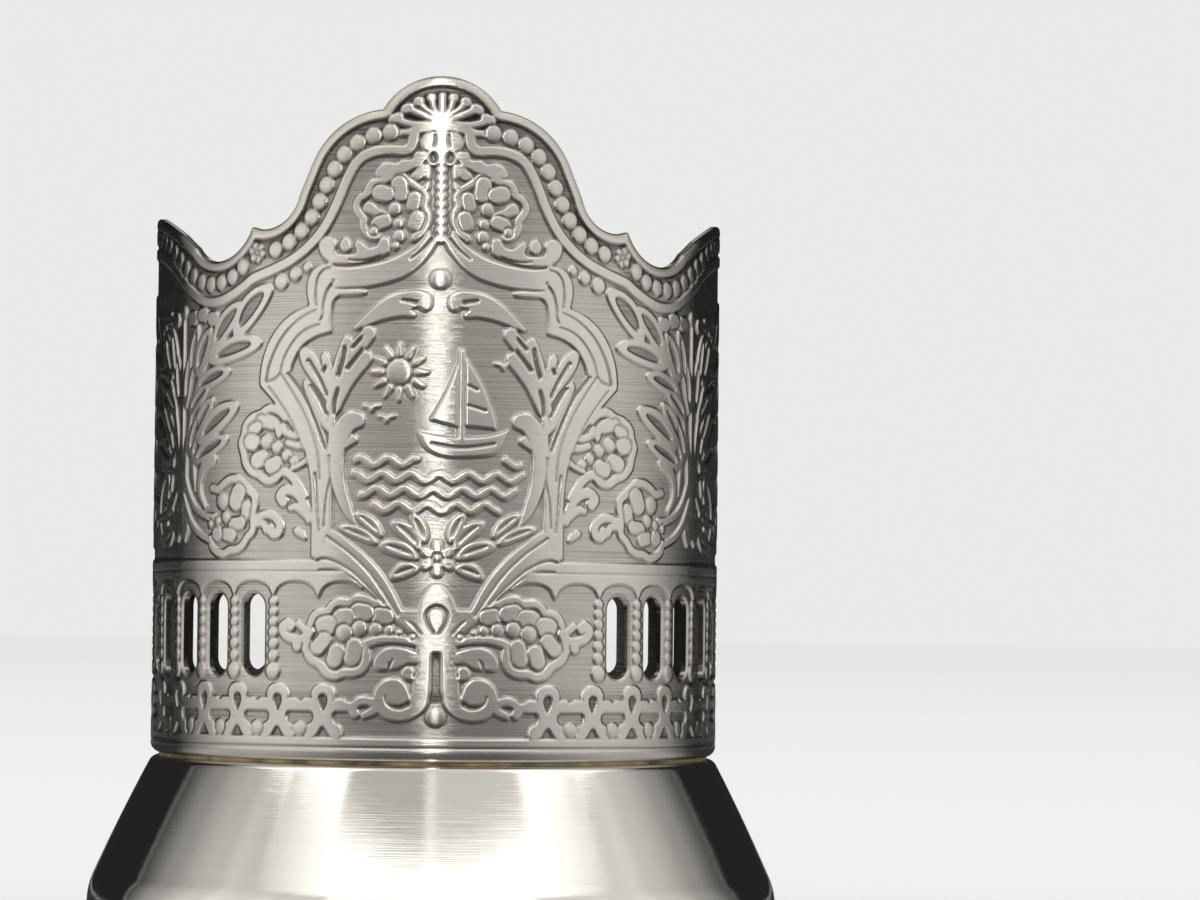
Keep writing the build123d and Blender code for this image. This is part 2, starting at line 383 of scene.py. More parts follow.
def rim_border(c):
    """Rolled edge, stained channel, row of pearls and inner ridge that follow the rim."""
    edge = rim_line()
    for start in range(0, len(edge) - 1, 6):
        part = edge[start : start + 8]

        def ridge(across, up, part=part):
            return ROLL_HALF - to_path(across, up, part)

        def channel(across, up, part=part):
            return np.minimum(CHANNEL_STAIN, CHANNEL_REACH - to_path(across, up, part))

        c.put(part, ROLL_MARGIN, ridge, c.raised)
        c.put(part, CHANNEL_MARGIN, channel, c.stain)
        spot, across, up = c.window(part, ROLL_MARGIN)
        fall = RIM_FALL * np.clip(1 - to_path(across, up, part) / ROLL_CROWN, 0, 1) ** 2
        c.crown[spot] = np.minimum(c.crown[spot], 1 - fall)
    inner = [
        (3.2, 73.2), (3.3, 72.0), (4.1, 71.1), (6.0, 71.15), (8.0, 70.85), (9.7, 69.9), (11.0, 67.8),
        (12.4, 64.6), (13.9, 62.0), (15.8, 60.0), (18.0, 58.5), (20.4, 57.5), (22.4, 56.85), (22.4, 56.85),
        (23.6, 56.45), (25, 55.6), (27, 54.65), (29, 54.05), (31, 53.95), (33, 54.4), (35, 55.4),
        (37, 56.7), (39.5, 58.2), (42.5, 59.5), (46, 60.3), (50, 60.8), (QUARTER, 60.9),
    ]
    c.line(inner, RIDGE_W)
    turned_back = [(2 * QUARTER - across, up) for across, up in inner[:11:-1]]
    c.line(turned_back + [(90, 59.5), (97, 61.3), (103, 62), (HALF_ROUND + 1, 62.2)], RIDGE_W)
    crest_run = [
        (5.9, 73.2), (8.1, 72.75), (10.1, 71.8), (11.7, 70.3), (12.9, 68.4), (14.0, 66.2), (15.0, 64.1),
        (16.4, 62.2), (18.2, 60.7), (20.6, 59.6),
    ]
    side_run = [
        (25.2, 57.9), (26.9, 56.8), (28.9, 56.2), (30.9, 56.05), (32.8, 56.4), (34.7, 57.2), (36.6, 58.3),
        (39.4, 60.0), (42.4, 61.4), (46, 62.3), (50, 62.85), (QUARTER, 63),
    ]
    side_run += [(2 * QUARTER - across, up) for across, up in side_run[-2::-1]]
    back_run = [(89, 61.1), (95, 63.1), (101, 64.2), (HALF_ROUND, 64.5)]
    for run, gap, count in ((crest_run, 2.07, 11), (side_run, 2.05, 33), (back_run, 2.05, 11)):
        for across, up in spaced(run, gap, count):
            c.bead(across, up, RIM_PEARL_R)
    rosette, rosette_up, reach = 23.0, 59.45, 0.78
    for middle in (rosette, 2 * QUARTER - rosette):
        c.bead(middle, rosette_up, 0.5)
        for turn in range(15, 360, 60):
            c.bead(middle + reach * cos(radians(turn)), rosette_up + reach * sin(radians(turn)), 0.52)


def crest_shell(c):
    """Palmette over the crest, with the bud and the beaded stem that hang from it."""
    ground = [
        (-6.2, 74.0), (-4.2, 76.6), (0, 78.4), (4.2, 76.6), (6.2, 74.0), (4.6, 73.4), (-4.6, 73.4),
    ]
    c.fill(ground, stain=True)
    c.lines([
        ([(0.6, 74.7), (1.8, 75.0), (2.9, 75.5), (3.7, 75.8)], 0.55, 0.7),
        ([(1.0, 74.2), (3.0, 74.1), (4.3, 74.3), (5.1, 74.65)], 0.6, 0.75),
        ([(0.9, 73.9), (2.6, 73.45), (4.0, 73.15), (5.5, 73.2)], 0.9, 0.6),
        ([(0.3, 75.0), (0.9, 75.9), (1.2, 77.0)], 0.3, 0.65),
        ([(0.7, 75.1), (1.9, 75.9), (2.5, 76.5)], 0.35, 0.65),
    ])
    for across, up, wide in ((5.3, 74.8, 1.7), (4.0, 75.95, 1.5), (2.7, 76.75, 1.2), (1.25, 77.2, 1.0)):
        c.oval(across, up, wide, 1.0, -25)
    c.oval(0, 76.3, 0.7, 3.0)
    c.fill([
        (0, 75.4), (0.7, 75.0), (1.3, 74.4), (1.2, 73.7), (0.6, 73.3), (-0.6, 73.3), (-1.3, 74.4),
        (-0.7, 75.0),
    ])
    c.fill([
        (0, 73.3), (1.0, 73.2), (2.0, 72.9), (2.4, 72.1), (2.2, 71.3), (1.6, 71.0), (0.8, 70.9), (-0.8, 70.9),
        (-2.2, 71.3), (-2.0, 72.9),
    ])
    c.line([(0.8, 72.9), (0.75, 72.2), (0.9, 71.6)], 0.14, engrave=True)
    c.oval(0.95, 70.3, 1.7, 1.9)
    c.oval(2.4, 70.4, 1.5, 1.1)
    c.fill([(0.9, 70.9), (1.4, 70.5), (1.25, 69.8), (0.7, 69.7), (0.5, 70.3)], engrave=True)
    c.line([(0, 71.0), (0, 60.7)], 0.6, soft=False)
    for place in range(9):
        c.oval(0, 68.9 - place, 1.15, 0.85)
    c.fill([
        (1.9, 70.7), (2.9, 70.6), (3.4, 70.0), (4.5, 70.0), (5.1, 69.6), (6.1, 69.7), (7.0, 69.4),
        (7.6, 68.7), (7.4, 68.0), (6.3, 68.1), (5.2, 68.4), (4.2, 68.5), (3.2, 69.0), (2.2, 69.5),
    ])
    c.fill([(1.3, 69.2), (2.2, 69.4), (3.0, 68.7), (3.5, 68.1), (2.8, 67.6), (2.0, 68.0), (1.4, 67.7)])
    c.fill([(1.4, 67.4), (1.8, 67.2), (2.1, 66.8), (1.7, 66.5), (1.4, 66.7)])


def crest_flower(c):
    """Open flower with an outlined edge, beside the stem."""
    c.line([
        (4.3, 67.9), (3.4, 67.2), (2.4, 66.6), (1.7, 65.7), (1.9, 64.7), (1.5, 63.7), (1.6, 62.6),
        (2.2, 61.6), (3.1, 60.9),
    ], 0.72)
    c.line([
        (4.3, 67.9), (5.6, 68.0), (6.9, 67.5), (8.0, 67.3), (8.5, 66.6), (8.7, 66.0), (9.5, 65.5),
        (9.9, 64.6), (9.5, 63.7), (9.0, 63.1), (9.0, 62.2), (8.3, 61.3), (7.4, 61.1),
    ], 0.78)
    c.fill([
        (5.9, 63.6), (6.5, 64.0), (7.3, 64.4), (8.2, 65.1), (8.9, 64.8), (8.9, 64.0), (8.0, 63.6),
        (7.0, 63.3),
    ])
    c.ovals([
        (4.75, 66.6, 1.45, 2.6, -10), (6.7, 66.05, 2.2, 1.5, 12), (3.1, 65.1, 1.15, 2.0, 12),
        (2.8, 62.9, 1.3, 2.0, 20), (6.9, 62.7, 2.1, 1.2, -18),
    ])
    c.beads([(5.3, 64.3, 0.85), (4.9, 62.6, 0.68), (4.8, 61.1, 0.78), (7.8, 61.7, 0.6), (5.2, 60.0, 0.5)])


def crest_acanthus(c):
    """Broad ribbon from the middle to the cartouche's shoulder, with curls on its back."""
    c.fill([
        (0, 60.9), (0.5, 60.4), (1.2, 59.2), (2.6, 57.6), (4.2, 56.45), (6.2, 55.75), (8.4, 55.3),
        (10.4, 55.2), (12.2, 55.2), (12.9, 55.5), (12.9, 55.5), (12.3, 56.0), (12.9, 56.4), (13.3, 57.4),
        (12.6, 57.6), (11, 57.45), (9, 57.6), (7, 58.0), (5.2, 58.6), (3.6, 59.5), (2.3, 60.6), (1.4, 61.7),
        (1.1, 61.2), (0.6, 61.0), (0, 61.4),
    ])
    c.line([(1.0, 60.9), (2.1, 59.6), (3.4, 58.5)], 0.3, 0.12, engrave=True)
    c.fill([
        (5.9, 59.4), (6.0, 60.7), (6.7, 60.9), (7.4, 60.0), (8.2, 59.75), (9.0, 60.2), (9.6, 60.6),
        (10.0, 60.2), (9.7, 59.4), (10.4, 58.95), (11.6, 59.0), (12.4, 59.4), (12.3, 60.4), (12.9, 61.0),
        (13.8, 60.9), (14.4, 60.0), (13.9, 58.8), (12.8, 58.1), (11.2, 57.95), (9.4, 58.1), (7.6, 58.5),
        (6.6, 58.9),
    ])
    c.fill([(10.5, 59.9), (10.9, 60.9), (11.5, 60.8), (11.8, 60.1), (11.5, 59.5), (10.8, 59.4)])
    c.line([(6.9, 58.75), (8.4, 58.35), (9.8, 58.3), (10.6, 58.4)], 0.28, 0.1, engrave=True)
    c.beads([(19.4, 56.0, 1.0), (17.5, 56.85, 0.85), (15.9, 57.6, 0.65), (0, 56.2, 1.15)])


def cartouche(c):
    """Broken ribbon round the medallion, with its grooves."""
    c.fill([
        (12.6, 57.9), (13.5, 57.9), (14.8, 57.5), (15.7, 56.2), (15.8, 54.6), (15.5, 53.1), (15.5, 53.1),
        (17.6, 52.3), (19.5, 50.9), (21.0, 48.9), (21.9, 46.7), (22.2, 44.6), (22.1, 43.9), (22.1, 43.9),
        (20.3, 42.2), (18.6, 40.3), (18.6, 40.3), (16.2, 37.0), (15.2, 33.5), (14.9, 30), (14.9, 27.0),
        (14.9, 24.0), (14.9, 24.0), (13.9, 23.9), (13.4, 25.6), (12.4, 26.6), (12.4, 26.6), (12.5, 30),
        (12.7, 34.0), (13.0, 36.0), (13.9, 39.2), (15.4, 42.0), (17.1, 44.2), (18.0, 45.4), (18.0, 45.4),
        (17.6, 46.7), (16.5, 48.4), (14.8, 49.5), (12.8, 50.1), (12.8, 50.1), (12.8, 52.2), (12.5, 53.7),
        (11.8, 54.3), (11.8, 54.3), (9, 54.4), (9, 54.9), (12.4, 55.15),
    ])
    c.lines([
        ([(12.9, 57.5), (13.8, 57.2), (14.5, 56.2), (14.7, 54.4), (14.6, 53.2)], 0.08, 0.15),
        ([(12.7, 55.6), (13.3, 54.8), (13.7, 53.4), (13.8, 52.0), (14.1, 51.4)], 0.2, 0.1),
        ([(14.6, 52.6), (16.4, 51.8), (18.3, 50.4), (19.8, 48.5), (20.9, 46.2), (21.3, 44.4)], 0.06, 0.18),
        ([(21.3, 44.4), (20.2, 44.6), (19.4, 45.2)], 0.15, 0.08),
        ([(14.2, 50.9), (15.8, 50.4), (17.3, 49.3), (18.7, 47.3), (19.3, 45.4)], 0.1, 0.1),
        ([(19.3, 45.3), (17.6, 43.0), (16.0, 40.5), (14.8, 37.9), (14.1, 35.4), (13.9, 33.0)], 0.15, 0.1),
        ([(20.9, 43.7), (19.4, 42.0), (17.8, 39.8), (16.4, 37.0), (15.4, 34.4)], 0.13, 0.09),
        ([(14.5, 33.6), (14.3, 31.0), (13.9, 27.0)], 0.25, 0.1),
        ([(12.6, 33.0), (13.1, 30.5), (13.3, 27.5)], 0.06, 0.1),
    ], engrave=True)


def medallion_frame(c):
    """Scroll, leaves and crescents round the medallion, and the flower at its foot."""
    c.fill([
        (1.0, 53.3), (1.2, 54.2), (2.2, 54.75), (3.8, 54.7), (5.4, 54.3), (7.0, 53.4), (8.6, 52.0),
        (10.1, 50.5), (10.1, 50.5), (9.5, 50.4), (8.0, 50.95), (6.3, 51.5), (4.4, 51.85), (3.1, 51.8),
        (2.8, 52.2), (3.4, 52.6), (2.6, 53.0), (1.8, 52.6), (1.3, 52.7),
    ])
    c.line([(2.7, 53.45), (3.4, 53.6), (4.3, 53.7)], 0.4, 0.25, engrave=True)
    c.lines([
        ([(12.0, 44.4), (10.4, 47.1), (8.3, 49.8)], 1.8, 1.7),
        ([(12.3, 43.5), (11.7, 46.4), (10.8, 48.9)], 1.15, 1.2),
        ([(12.4, 41.4), (10.8, 44.3), (8.6, 47.0)], 1.8, 1.6),
        ([(12.8, 43.4), (13.1, 45.4), (13.5, 47.2)], 1.1, 0.9),
    ])
    c.fill([
        (12.7, 41.5), (13.0, 43.6), (13.7, 45.4), (14.5, 46.9), (15.4, 47.9), (16.2, 48.2), (16.7, 47.7),
        (16.6, 46.8), (16.1, 45.8), (15.2, 44.6), (14.1, 43.3), (13.3, 42.1),
    ])
    c.fill([
        (12.8, 38.4), (13.0, 39.9), (13.6, 41.3), (14.5, 42.9), (15.4, 44.2), (16.0, 44.5), (16.2, 43.9),
        (15.6, 42.6), (14.6, 40.9), (13.7, 39.2),
    ])
    slits = [
        ([(9.0, 50.4), (10.0, 49.4)], 0.3), ([(9.0, 49.4), (10.1, 48.2)], 0.3),
        ([(11.0, 48.2), (11.3, 46.7), (11.8, 45.0)], 0.42), ([(8.9, 48.0), (10.7, 45.8)], 0.36),
        ([(11.8, 43.4), (12.2, 42.0), (12.3, 40.6)], 0.36),
        ([(13.3, 42.9), (14.2, 44.7), (15.5, 46.7)], 0.48),
        ([(13.3, 40.6), (14.2, 42.3), (15.2, 43.8)], 0.42), ([(13.4, 46.0), (13.7, 45.5)], 0.36),
        ([(18.2, 45.2), (16.3, 42.9), (14.8, 40.0), (13.4, 36.6)], 0.4),
    ]
    for points, width in slits:
        c.line(points, width, engrave=True)
    c.line([(12.6, 44), (12.5, 40), (12.7, 36)], 0.9, 0.5)
    c.fill([
        (8.7, 40.2), (9.6, 40.75), (10.9, 40.6), (12.0, 39.4), (12.5, 37.4), (12.6, 34.5), (12.2, 31.8),
        (11.0, 29.2), (9.4, 27.6), (9.4, 27.6), (10.2, 30.0), (10.9, 32.6), (11.05, 35.2), (10.7, 37.2),
        (9.8, 38.7), (8.8, 39.2),
    ])
    c.line([(9.9, 37.6), (10.8, 36.8)], 0.9, 0.5)
    heart_up, reach = 23.9, 1.35
    for turn in range(30, 390, 60):
        c.oval(reach * cos(radians(turn)), heart_up + reach * sin(radians(turn)), 1.5, 1.0, turn)
    c.bead(0, heart_up, 0.55)
    leaves = [
        ((1.9, 24.9), (5.3, 28.0), 1.7, 0.4), ((2.2, 23.9), (6.6, 25.4), 1.7, 0.3),
        ((2.1, 22.8), (5.3, 21.6), 1.6, 0.3), ((1.4, 25.7), (3.0, 29.0), 1.4, 0.2),
        ((6.4, 26.4), (9.6, 29.0), 1.2, 0.3), ((7.0, 25.6), (11.6, 27.4), 1.2, 0.3),
    ]
    for leaf in leaves:
        c.leaf(*leaf)


def medallion_picture(c):
    """A small sailing boat under the sun on rows of waves; the only motif that isn't mirrored."""
    sun, sun_up, mast, hull_half = -4.6, 45.4, 2.6, 4.8
    c.bead(sun, sun_up, 1.5)
    for turn in range(0, 360, 30):
        dx, dy = cos(radians(turn)), sin(radians(turn))
        c.line([(sun + reach * dx, sun_up + reach * dy) for reach in (2.1, 3.2)], 0.7, 0.3)
    c.line([(mast, 47.8), (mast, 37.6)], 0.5, 0.6)
    c.fill([
        (3.1, 47.0), (3.1, 47.0), (4.9, 44.0), (6.4, 40.2), (6.5, 39.0), (6.5, 39.0), (3.1, 39.3),
        (3.1, 39.3),
    ])
    c.fill([(2.1, 46.2), (2.1, 46.2), (1.0, 43.4), (-0.8, 40.0), (-0.8, 40.0), (2.1, 39.2), (2.1, 39.2)])
    c.fill([
        (-2.2, 38.4), (-2.2, 38.4), (1.6, 37.8), (5.6, 38.0), (8.0, 38.7), (8.0, 38.7), (7.0, 36.7),
        (5.6, 35.9), (1.6, 35.7), (-0.4, 36.1), (-1.6, 37.0),
    ])
    c.line([(-0.8, 37.2), (2.6, 36.7), (6.4, 37.2)], 0.24, engrave=True)
    c.line([(3.4, 43.9), (4.4, 43.4)], 0.2, engrave=True)
    c.line([(3.4, 41.6), (5.4, 41.0)], 0.2, engrave=True)
    for row, reach in enumerate((9.6, 9.9, 9.0, 7.4)):
        swell = np.arange(-reach, reach + 0.1, 0.6)
        wave = np.stack([swell, 35.0 - 1.75 * row + 0.42 * np.sin(swell * 1.9 + 1.3 * row)], axis=1)
        parts = (wave[swell < mast - hull_half], wave[swell > mast + hull_half]) if row == 0 else (wave,)
        for part in parts:
            c.line(part, 0.75, 0.6)
    for across, up in ((-7.8, 41.0), (-6.0, 39.8), (7.4, 46.0)):
        for side in (-1, 1):
            wing = [(across + 0.9 * side, up + 0.5), (across + 0.3 * side, up + 0.35), (across, up)]
            c.line(wing, 0.2, 0.4)


def diagonal_bands(c):
    """Ribbons from the cartouche's foot to the lower palmette."""
    c.fill([
        (12.4, 27.1), (10.0, 25.5), (7.6, 23.4), (5.6, 20.9), (3.7, 17.4), (3.7, 17.4), (4.6, 17.3),
        (6.2, 18.7), (7.9, 20.2), (9.7, 21.6), (11.6, 22.5), (13.4, 22.6), (14.6, 22.5), (14.6, 23.5),
        (13.9, 24.2), (13.3, 25.6),
    ])
    c.lines([
        ([(12.9, 26.3), (10.4, 24.6), (8.0, 22.4), (6.1, 19.9), (4.4, 17.3)], 0.24, 0.24),
        ([(14.3, 23.5), (13.3, 23.75), (11.8, 23.4), (9.9, 22.3), (8.0, 20.6), (6.0, 18.6)], 0.24, 0.24),
    ], engrave=True)


def lower_palmette(c):
    """Pointed arch, arms, pillars and volutes under the medallion."""
    c.fill([
        (0, 20.9), (0.9, 20.4), (1.7, 19.3), (2.3, 18.0), (3.4, 17.9), (4.3, 17.6), (4.7, 16.9), (4.1, 16.2),
        (3.0, 15.2), (2.1, 14.4), (2.0, 12.9), (-2.0, 12.9), (-2.3, 18.0), (-1.0, 20.4),
    ])
    c.lines([
        ([(0, 18.35), (0.75, 18.1), (1.2, 17.4), (1.0, 16.4), (0.5, 15.5), (0.3, 15.2)], 0.42, 0.2),
        ([(1.9, 15.2), (2.4, 15.9), (3.2, 16.6)], 0.14, 0.08),
        ([(3.2, 7.05), (3.9, 6.7), (4.8, 6.7), (5.5, 7.1), (5.8, 7.9)], 0.6, 0.12),
        ([(2.45, 10.2), (2.3, 10.9), (2.6, 11.4)], 0.1, 0.2),
        ([(5.5, 10.8), (5.3, 11.6), (5.0, 12.1)], 0.36, 0.14),
    ], engrave=True)
    c.bead(2.7, 14.8, 0.45)
    c.line([(1.8, 14.0), (3.4, 14.35), (5.2, 14.5), (6.9, 14.35), (8.3, 13.8)], 0.7, 0.95)
    c.fill([
        (2.0, 12.8), (3.5, 13.4), (5.0, 13.6), (6.2, 13.2), (7.0, 12.3), (7.1, 11.4), (6.6, 11.0),
        (6.0, 11.0), (5.2, 11.1), (4.4, 11.2), (3.2, 11.8), (2.0, 11.8),
    ])
    c.fill([
        (0.72, 13.4), (0.72, 8.6), (0.9, 7.2), (1.7, 6.1), (2.9, 5.35), (4.4, 5.1), (5.8, 5.45), (6.8, 6.3),
        (7.15, 7.6), (6.7, 9.0), (5.7, 9.8), (4.5, 9.95), (3.7, 9.5), (3.15, 8.7), (2.85, 7.6), (2.85, 7.6),
        (2.6, 8.6), (2.5, 10.0), (2.1, 11.4), (2.0, 12.0), (2.0, 13.4),
    ])
    c.oval(2.9, 10.6, 1.9, 1.5)
    slot = both_sides([(0, 13.0), (0.56, 12.6), (0.6, 9.0), (0.8, 7.4), (0, 7.0)])
    c.fill(slot, engrave=True)
    c.fill(slot, stain=True)
    c.line([(6.8, 7.0), (8.0, 7.4), (9.1, 7.15), (9.6, 6.4), (9.3, 5.9)], 0.95, 1.0)
    c.line([(7.0, 6.3), (7.8, 5.9), (8.2, 5.75)], 0.9, 0.7)
    c.bead(0, 5.65, 1.15)


def lower_flower(c):
    """Flower full of berries beside the lower palmette."""
    c.line([
        (6.2, 18.5), (7.2, 18.6), (8.2, 19.1), (9.3, 19.15), (10.1, 18.7), (11.3, 18.75), (12.2, 18.4),
        (12.7, 17.7), (13.6, 17.5), (14.4, 17.2), (14.9, 16.2),
    ], 0.85)
    c.line([
        (8.2, 13.4), (8.0, 12.2), (8.5, 11.1), (9.5, 10.6), (10.7, 10.55), (11.8, 10.2), (12.9, 10.6),
        (13.7, 11.5), (14.8, 12.1), (15.4, 13.2), (15.3, 14.5), (14.9, 15.3),
    ], 0.95)
    c.ovals([
        (6.2, 17.15, 2.3, 1.45, 8), (8.6, 17.6, 2.4, 1.55, 10), (10.75, 16.95, 2.4, 1.65, -8),
        (12.9, 16.0, 2.3, 1.85, -6), (9.6, 12.95, 1.55, 2.9, 12), (11.75, 12.5, 1.55, 2.5, 18),
        (13.55, 13.9, 1.45, 2.6, 42), (16.6, 13.7, 0.9, 1.1, 0),
    ])
    c.beads([
        (8.9, 15.75, 0.95), (7.0, 15.65, 0.82), (5.4, 15.55, 0.62), (4.3, 15.3, 0.4), (10.75, 15.2, 1.05),
    ])
    c.line([(15.1, 15.2), (15.9, 15.7), (16.5, 16.2)], 0.85, 0.7)
    c.line([(15.3, 14.7), (16.6, 14.35), (18.0, 14.7), (18.6, 15.6), (18.0, 16.2), (17.5, 15.9)], 0.9, 1.15)


def gallery(c):
    """Scalloped band over the slots, and the bead columns between them."""
    cusp, crown, band_top, far = 19.35, 21.2, 22.25, HALF_ROUND + 2
    scallops = [(8.9, 20.6)]
    for place in range(-2, SLOTS + 3):
        middle = FIRST_ACROSS + PITCH * place
        for t in np.linspace(-1, 1, 11)[:-1]:
            across = middle + t * PITCH / 2
            if scallops[0][0] - 0.6 < across < far:
                scallops.append((across, cusp + (crown - cusp) * (1 - abs(t) ** 2.4) ** 0.6))
    c.fill(scallops + [(far, cusp), (far, band_top), (10.8, band_top)], soft=False)
    c.line([(14.3, 22.95), (far, 22.95)], 1.15, soft=False)
    low, high = SLOT_FOOT + SLOT_W / 2, SLOT_TOP - SLOT_W / 2
    for place in range(SLOTS):
        middle = FIRST_ACROSS + PITCH * place
        c.line([(middle, low), (middle, high)], SLOT_W, soft=False, layer=c.hole)
    for place in range(SLOTS + 1):
        across = FIRST_ACROSS + PITCH * (place - 0.5)
        for row, up in enumerate((18.75, 17.6, 16.4, 15.15, 13.85, 12.45)):
            c.bead(across, up, 0.66 + 0.02 * row)
        c.bead(across, 10.7, 1.02)


def lattice(c):
    """Border of loops and pearls above the bottom band."""
    loop = both_sides([(0, 9.25), (0.95, 9.0), (1.45, 8.2), (1.3, 7.2), (0.9, 6.0)])
    eye = both_sides([(0, 8.1), (0.42, 7.85), (0.5, 7.2), (0.25, 6.5), (0, 6.1)])
    legs = both_sides([(1.5, 6.5), (1.15, 5.7), (1.3, 4.9), (2.1, 4.35), (2.3, 3.2), (1.0, 3.2), (0, 4.4)])
    for place in range(LOOPS):
        middle = across_at(FIRST_LOOP) + PITCH * place
        for outline, engrave in ((loop, False), (eye, True), (legs, False)):
            c.fill([(middle + across, up) for across, up in outline], engrave)
        for side in (1, -1):
            c.line([(middle + side * 0.8, 6.7), (middle + side * PITCH / 2, 6.7)], 1.1, soft=False)
            c.oval(middle + side * 2.05, 7.1, 1.5, 0.9)
        c.bead(middle + PITCH / 2, 4.05, 0.95)


def bottom_moulding(c):
    """Plain band round the sleeve's foot, with a thin line that parts a ridge off its top."""
    for up, width, engrave in ((1.5, 3.1, False), (1.98, 0.12, True)):
        c.line([(-2, up), (HALF_ROUND + 2, up)], width, engrave=engrave, soft=False)


def side_flower(c):
    """Flower on the cartouche's outer side, with the small volute and drop under it."""
    c.line([
        (18.6, 40.2), (19.6, 41.0), (20.9, 41.2), (22.0, 40.6), (23.3, 40.2), (24.3, 39.3), (24.6, 38.2),
        (25.0, 37.2), (24.6, 35.9), (24.3, 34.8), (23.4, 33.9), (22.3, 33.5), (21.1, 32.8), (19.9, 33.0),
        (19.0, 33.8), (18.1, 33.6), (17.2, 32.8), (16.0, 31.0),
    ], 0.92)
    c.ovals([
        (21.2, 39.6, 2.6, 1.0, 14), (22.9, 38.9, 1.8, 1.0, -22), (23.4, 37.3, 2.0, 1.55, 10),
        (22.2, 35.3, 2.3, 1.6, -20), (20.2, 34.6, 2.1, 1.45, -24),
    ])
    c.beads([(21.2, 37.35, 0.95), (19.7, 36.65, 0.8), (18.4, 35.7, 0.72), (17.4, 35.0, 0.6)])
    c.lines([
        ([(19.4, 38.2), (19.9, 39.6), (21.0, 40.2)], 0.8, 0.6),
        ([(16.2, 38.4), (17.2, 38.0), (18.5, 38.4), (19.0, 39.2)], 0.9, 0.6),
        ([(16.0, 36.9), (17.2, 36.9), (18.3, 37.2)], 0.9, 0.6),
        ([(15.6, 35.2), (16.6, 34.6), (17.6, 34.2)], 0.7, 0.5),
        ([(15.3, 28.3), (16.0, 30.2), (17.1, 31.4), (18.4, 31.7), (19.1, 31.0), (18.7, 30.4)], 0.9, 1.3),
        ([(15.8, 29.0), (16.9, 29.7), (17.7, 29.6)], 1.0, 0.7),
    ])
    c.fill([(15.7, 26.0), (15.9, 26.8), (16.6, 27.3), (17.3, 27.1), (16.9, 26.5)])


def spray_flower(c):
    """Flower at the foot of the spray, on the side towards the cartouche."""
    c.line([
        (30.0, 32.0), (28.8, 31.9), (27.9, 32.5), (26.8, 33.0), (25.5, 33.0), (24.5, 32.3), (23.6, 31.6),
        (22.9, 31.0), (22.8, 29.9), (23.1, 28.9), (23.0, 27.8), (23.1, 26.9), (23.9, 26.2), (24.6, 25.3),
        (25.6, 24.8), (26.7, 24.7), (27.8, 24.3), (29.0, 24.5), (29.9, 25.1), (30.2, 26.0),
    ], 0.92)
    c.ovals([
        (25.6, 30.9, 1.9, 2.9, 24), (24.2, 29.3, 1.0, 2.2, 12), (25.6, 27.8, 2.5, 1.2, -6),
        (27.0, 26.5, 2.3, 1.2, 10), (29.0, 26.6, 1.5, 1.4, 0),
    ])
    c.beads([(28.1, 30.5, 1.1), (27.5, 28.6, 0.8), (28.9, 28.1, 0.65), (30.3, 27.8, 0.55)])
    c.line([
        (23.0, 28.1), (21.6, 28.8), (20.1, 28.7), (19.2, 27.8), (19.3, 26.8), (20.1, 26.6), (20.5, 27.2),
    ], 0.85, 1.15)
    c.line([(22.6, 27.8), (21.6, 27.8), (21.1, 27.0)], 0.8, 0.75)


SPRAY_LEAVES = (
    ((26.4, 49.6), (20.7, 55.6), 3.2, -0.5, 1.5), ((30.4, 48.2), (25.0, 53.8), 2.7, -0.4, 1.1),
    ((31.0, 46.9), (22.1, 49.0), 2.8, -0.4, 1.1), ((34.0, 43.7), (27.0, 45.8), 2.2, -0.3, 0.8),
    ((35.2, 40.8), (30.8, 44.1), 2.2, -0.3, 0.5), ((33.6, 45.2), (30.6, 50.9), 2.5, -0.3, 0.9),
    ((35.0, 45.0), (33.3, 51.4), 1.9, -0.2, 0.6), ((36.1, 41.6), (34.8, 48.4), 1.9, -0.2, 0.6),
    ((33.2, 37.3), (25.6, 41.8), 3.0, -0.4, 1.0), ((34.2, 37.7), (30.0, 42.6), 2.3, -0.3, 0.6),
    ((34.2, 35.0), (27.2, 37.9), 2.3, -0.3, 0.8), ((35.0, 35.8), (32.6, 40.9), 1.9, -0.2, 0.5),
)
SPRAY_STEMS = (
    ([(30.0, 48.9), (32.0, 46.2), (33.8, 43.2), (35.2, 39.6), (35.9, 36.0), (36.2, 32.0)], 0.8, 1.0),
    ([(30.0, 35.4), (31.7, 34.6), (32.6, 32.9), (32.4, 31.2), (31.4, 29.9)], 1.5, 0.6),
    ([(34.4, 36.6), (34.0, 34.0), (33.6, 32.0)], 0.9, 0.6),
    ([(36.3, 33.8), (35.2, 31.6), (33.6, 29.8), (31.4, 28.8), (29.5, 28.6)], 0.95, 0.75),
    ([(36.4, 31.0), (34.8, 28.4), (32.8, 26.8), (30.8, 26.0)], 0.95, 0.75),
)
SPRAY_BUDS = ((30.2, 52.0), (32.3, 52.5), (34.6, 52.2))


def spray_half(c, turned_over):
    """One side of the leafy spray about its stem; turned over, it is the far side."""

    def place(point):
        return (2 * STEM - point[0], point[1]) if turned_over else point

    for root, tip, width, bend, vein in SPRAY_LEAVES:
        c.leaf(place(root), place(tip), width, -bend if turned_over else bend, vein)
    for bud in SPRAY_BUDS:
        c.oval(*place(bud), 2.3, 1.7)
    for points, width, end_width in SPRAY_STEMS:
        c.line([place(point) for point in points], width, end_width)


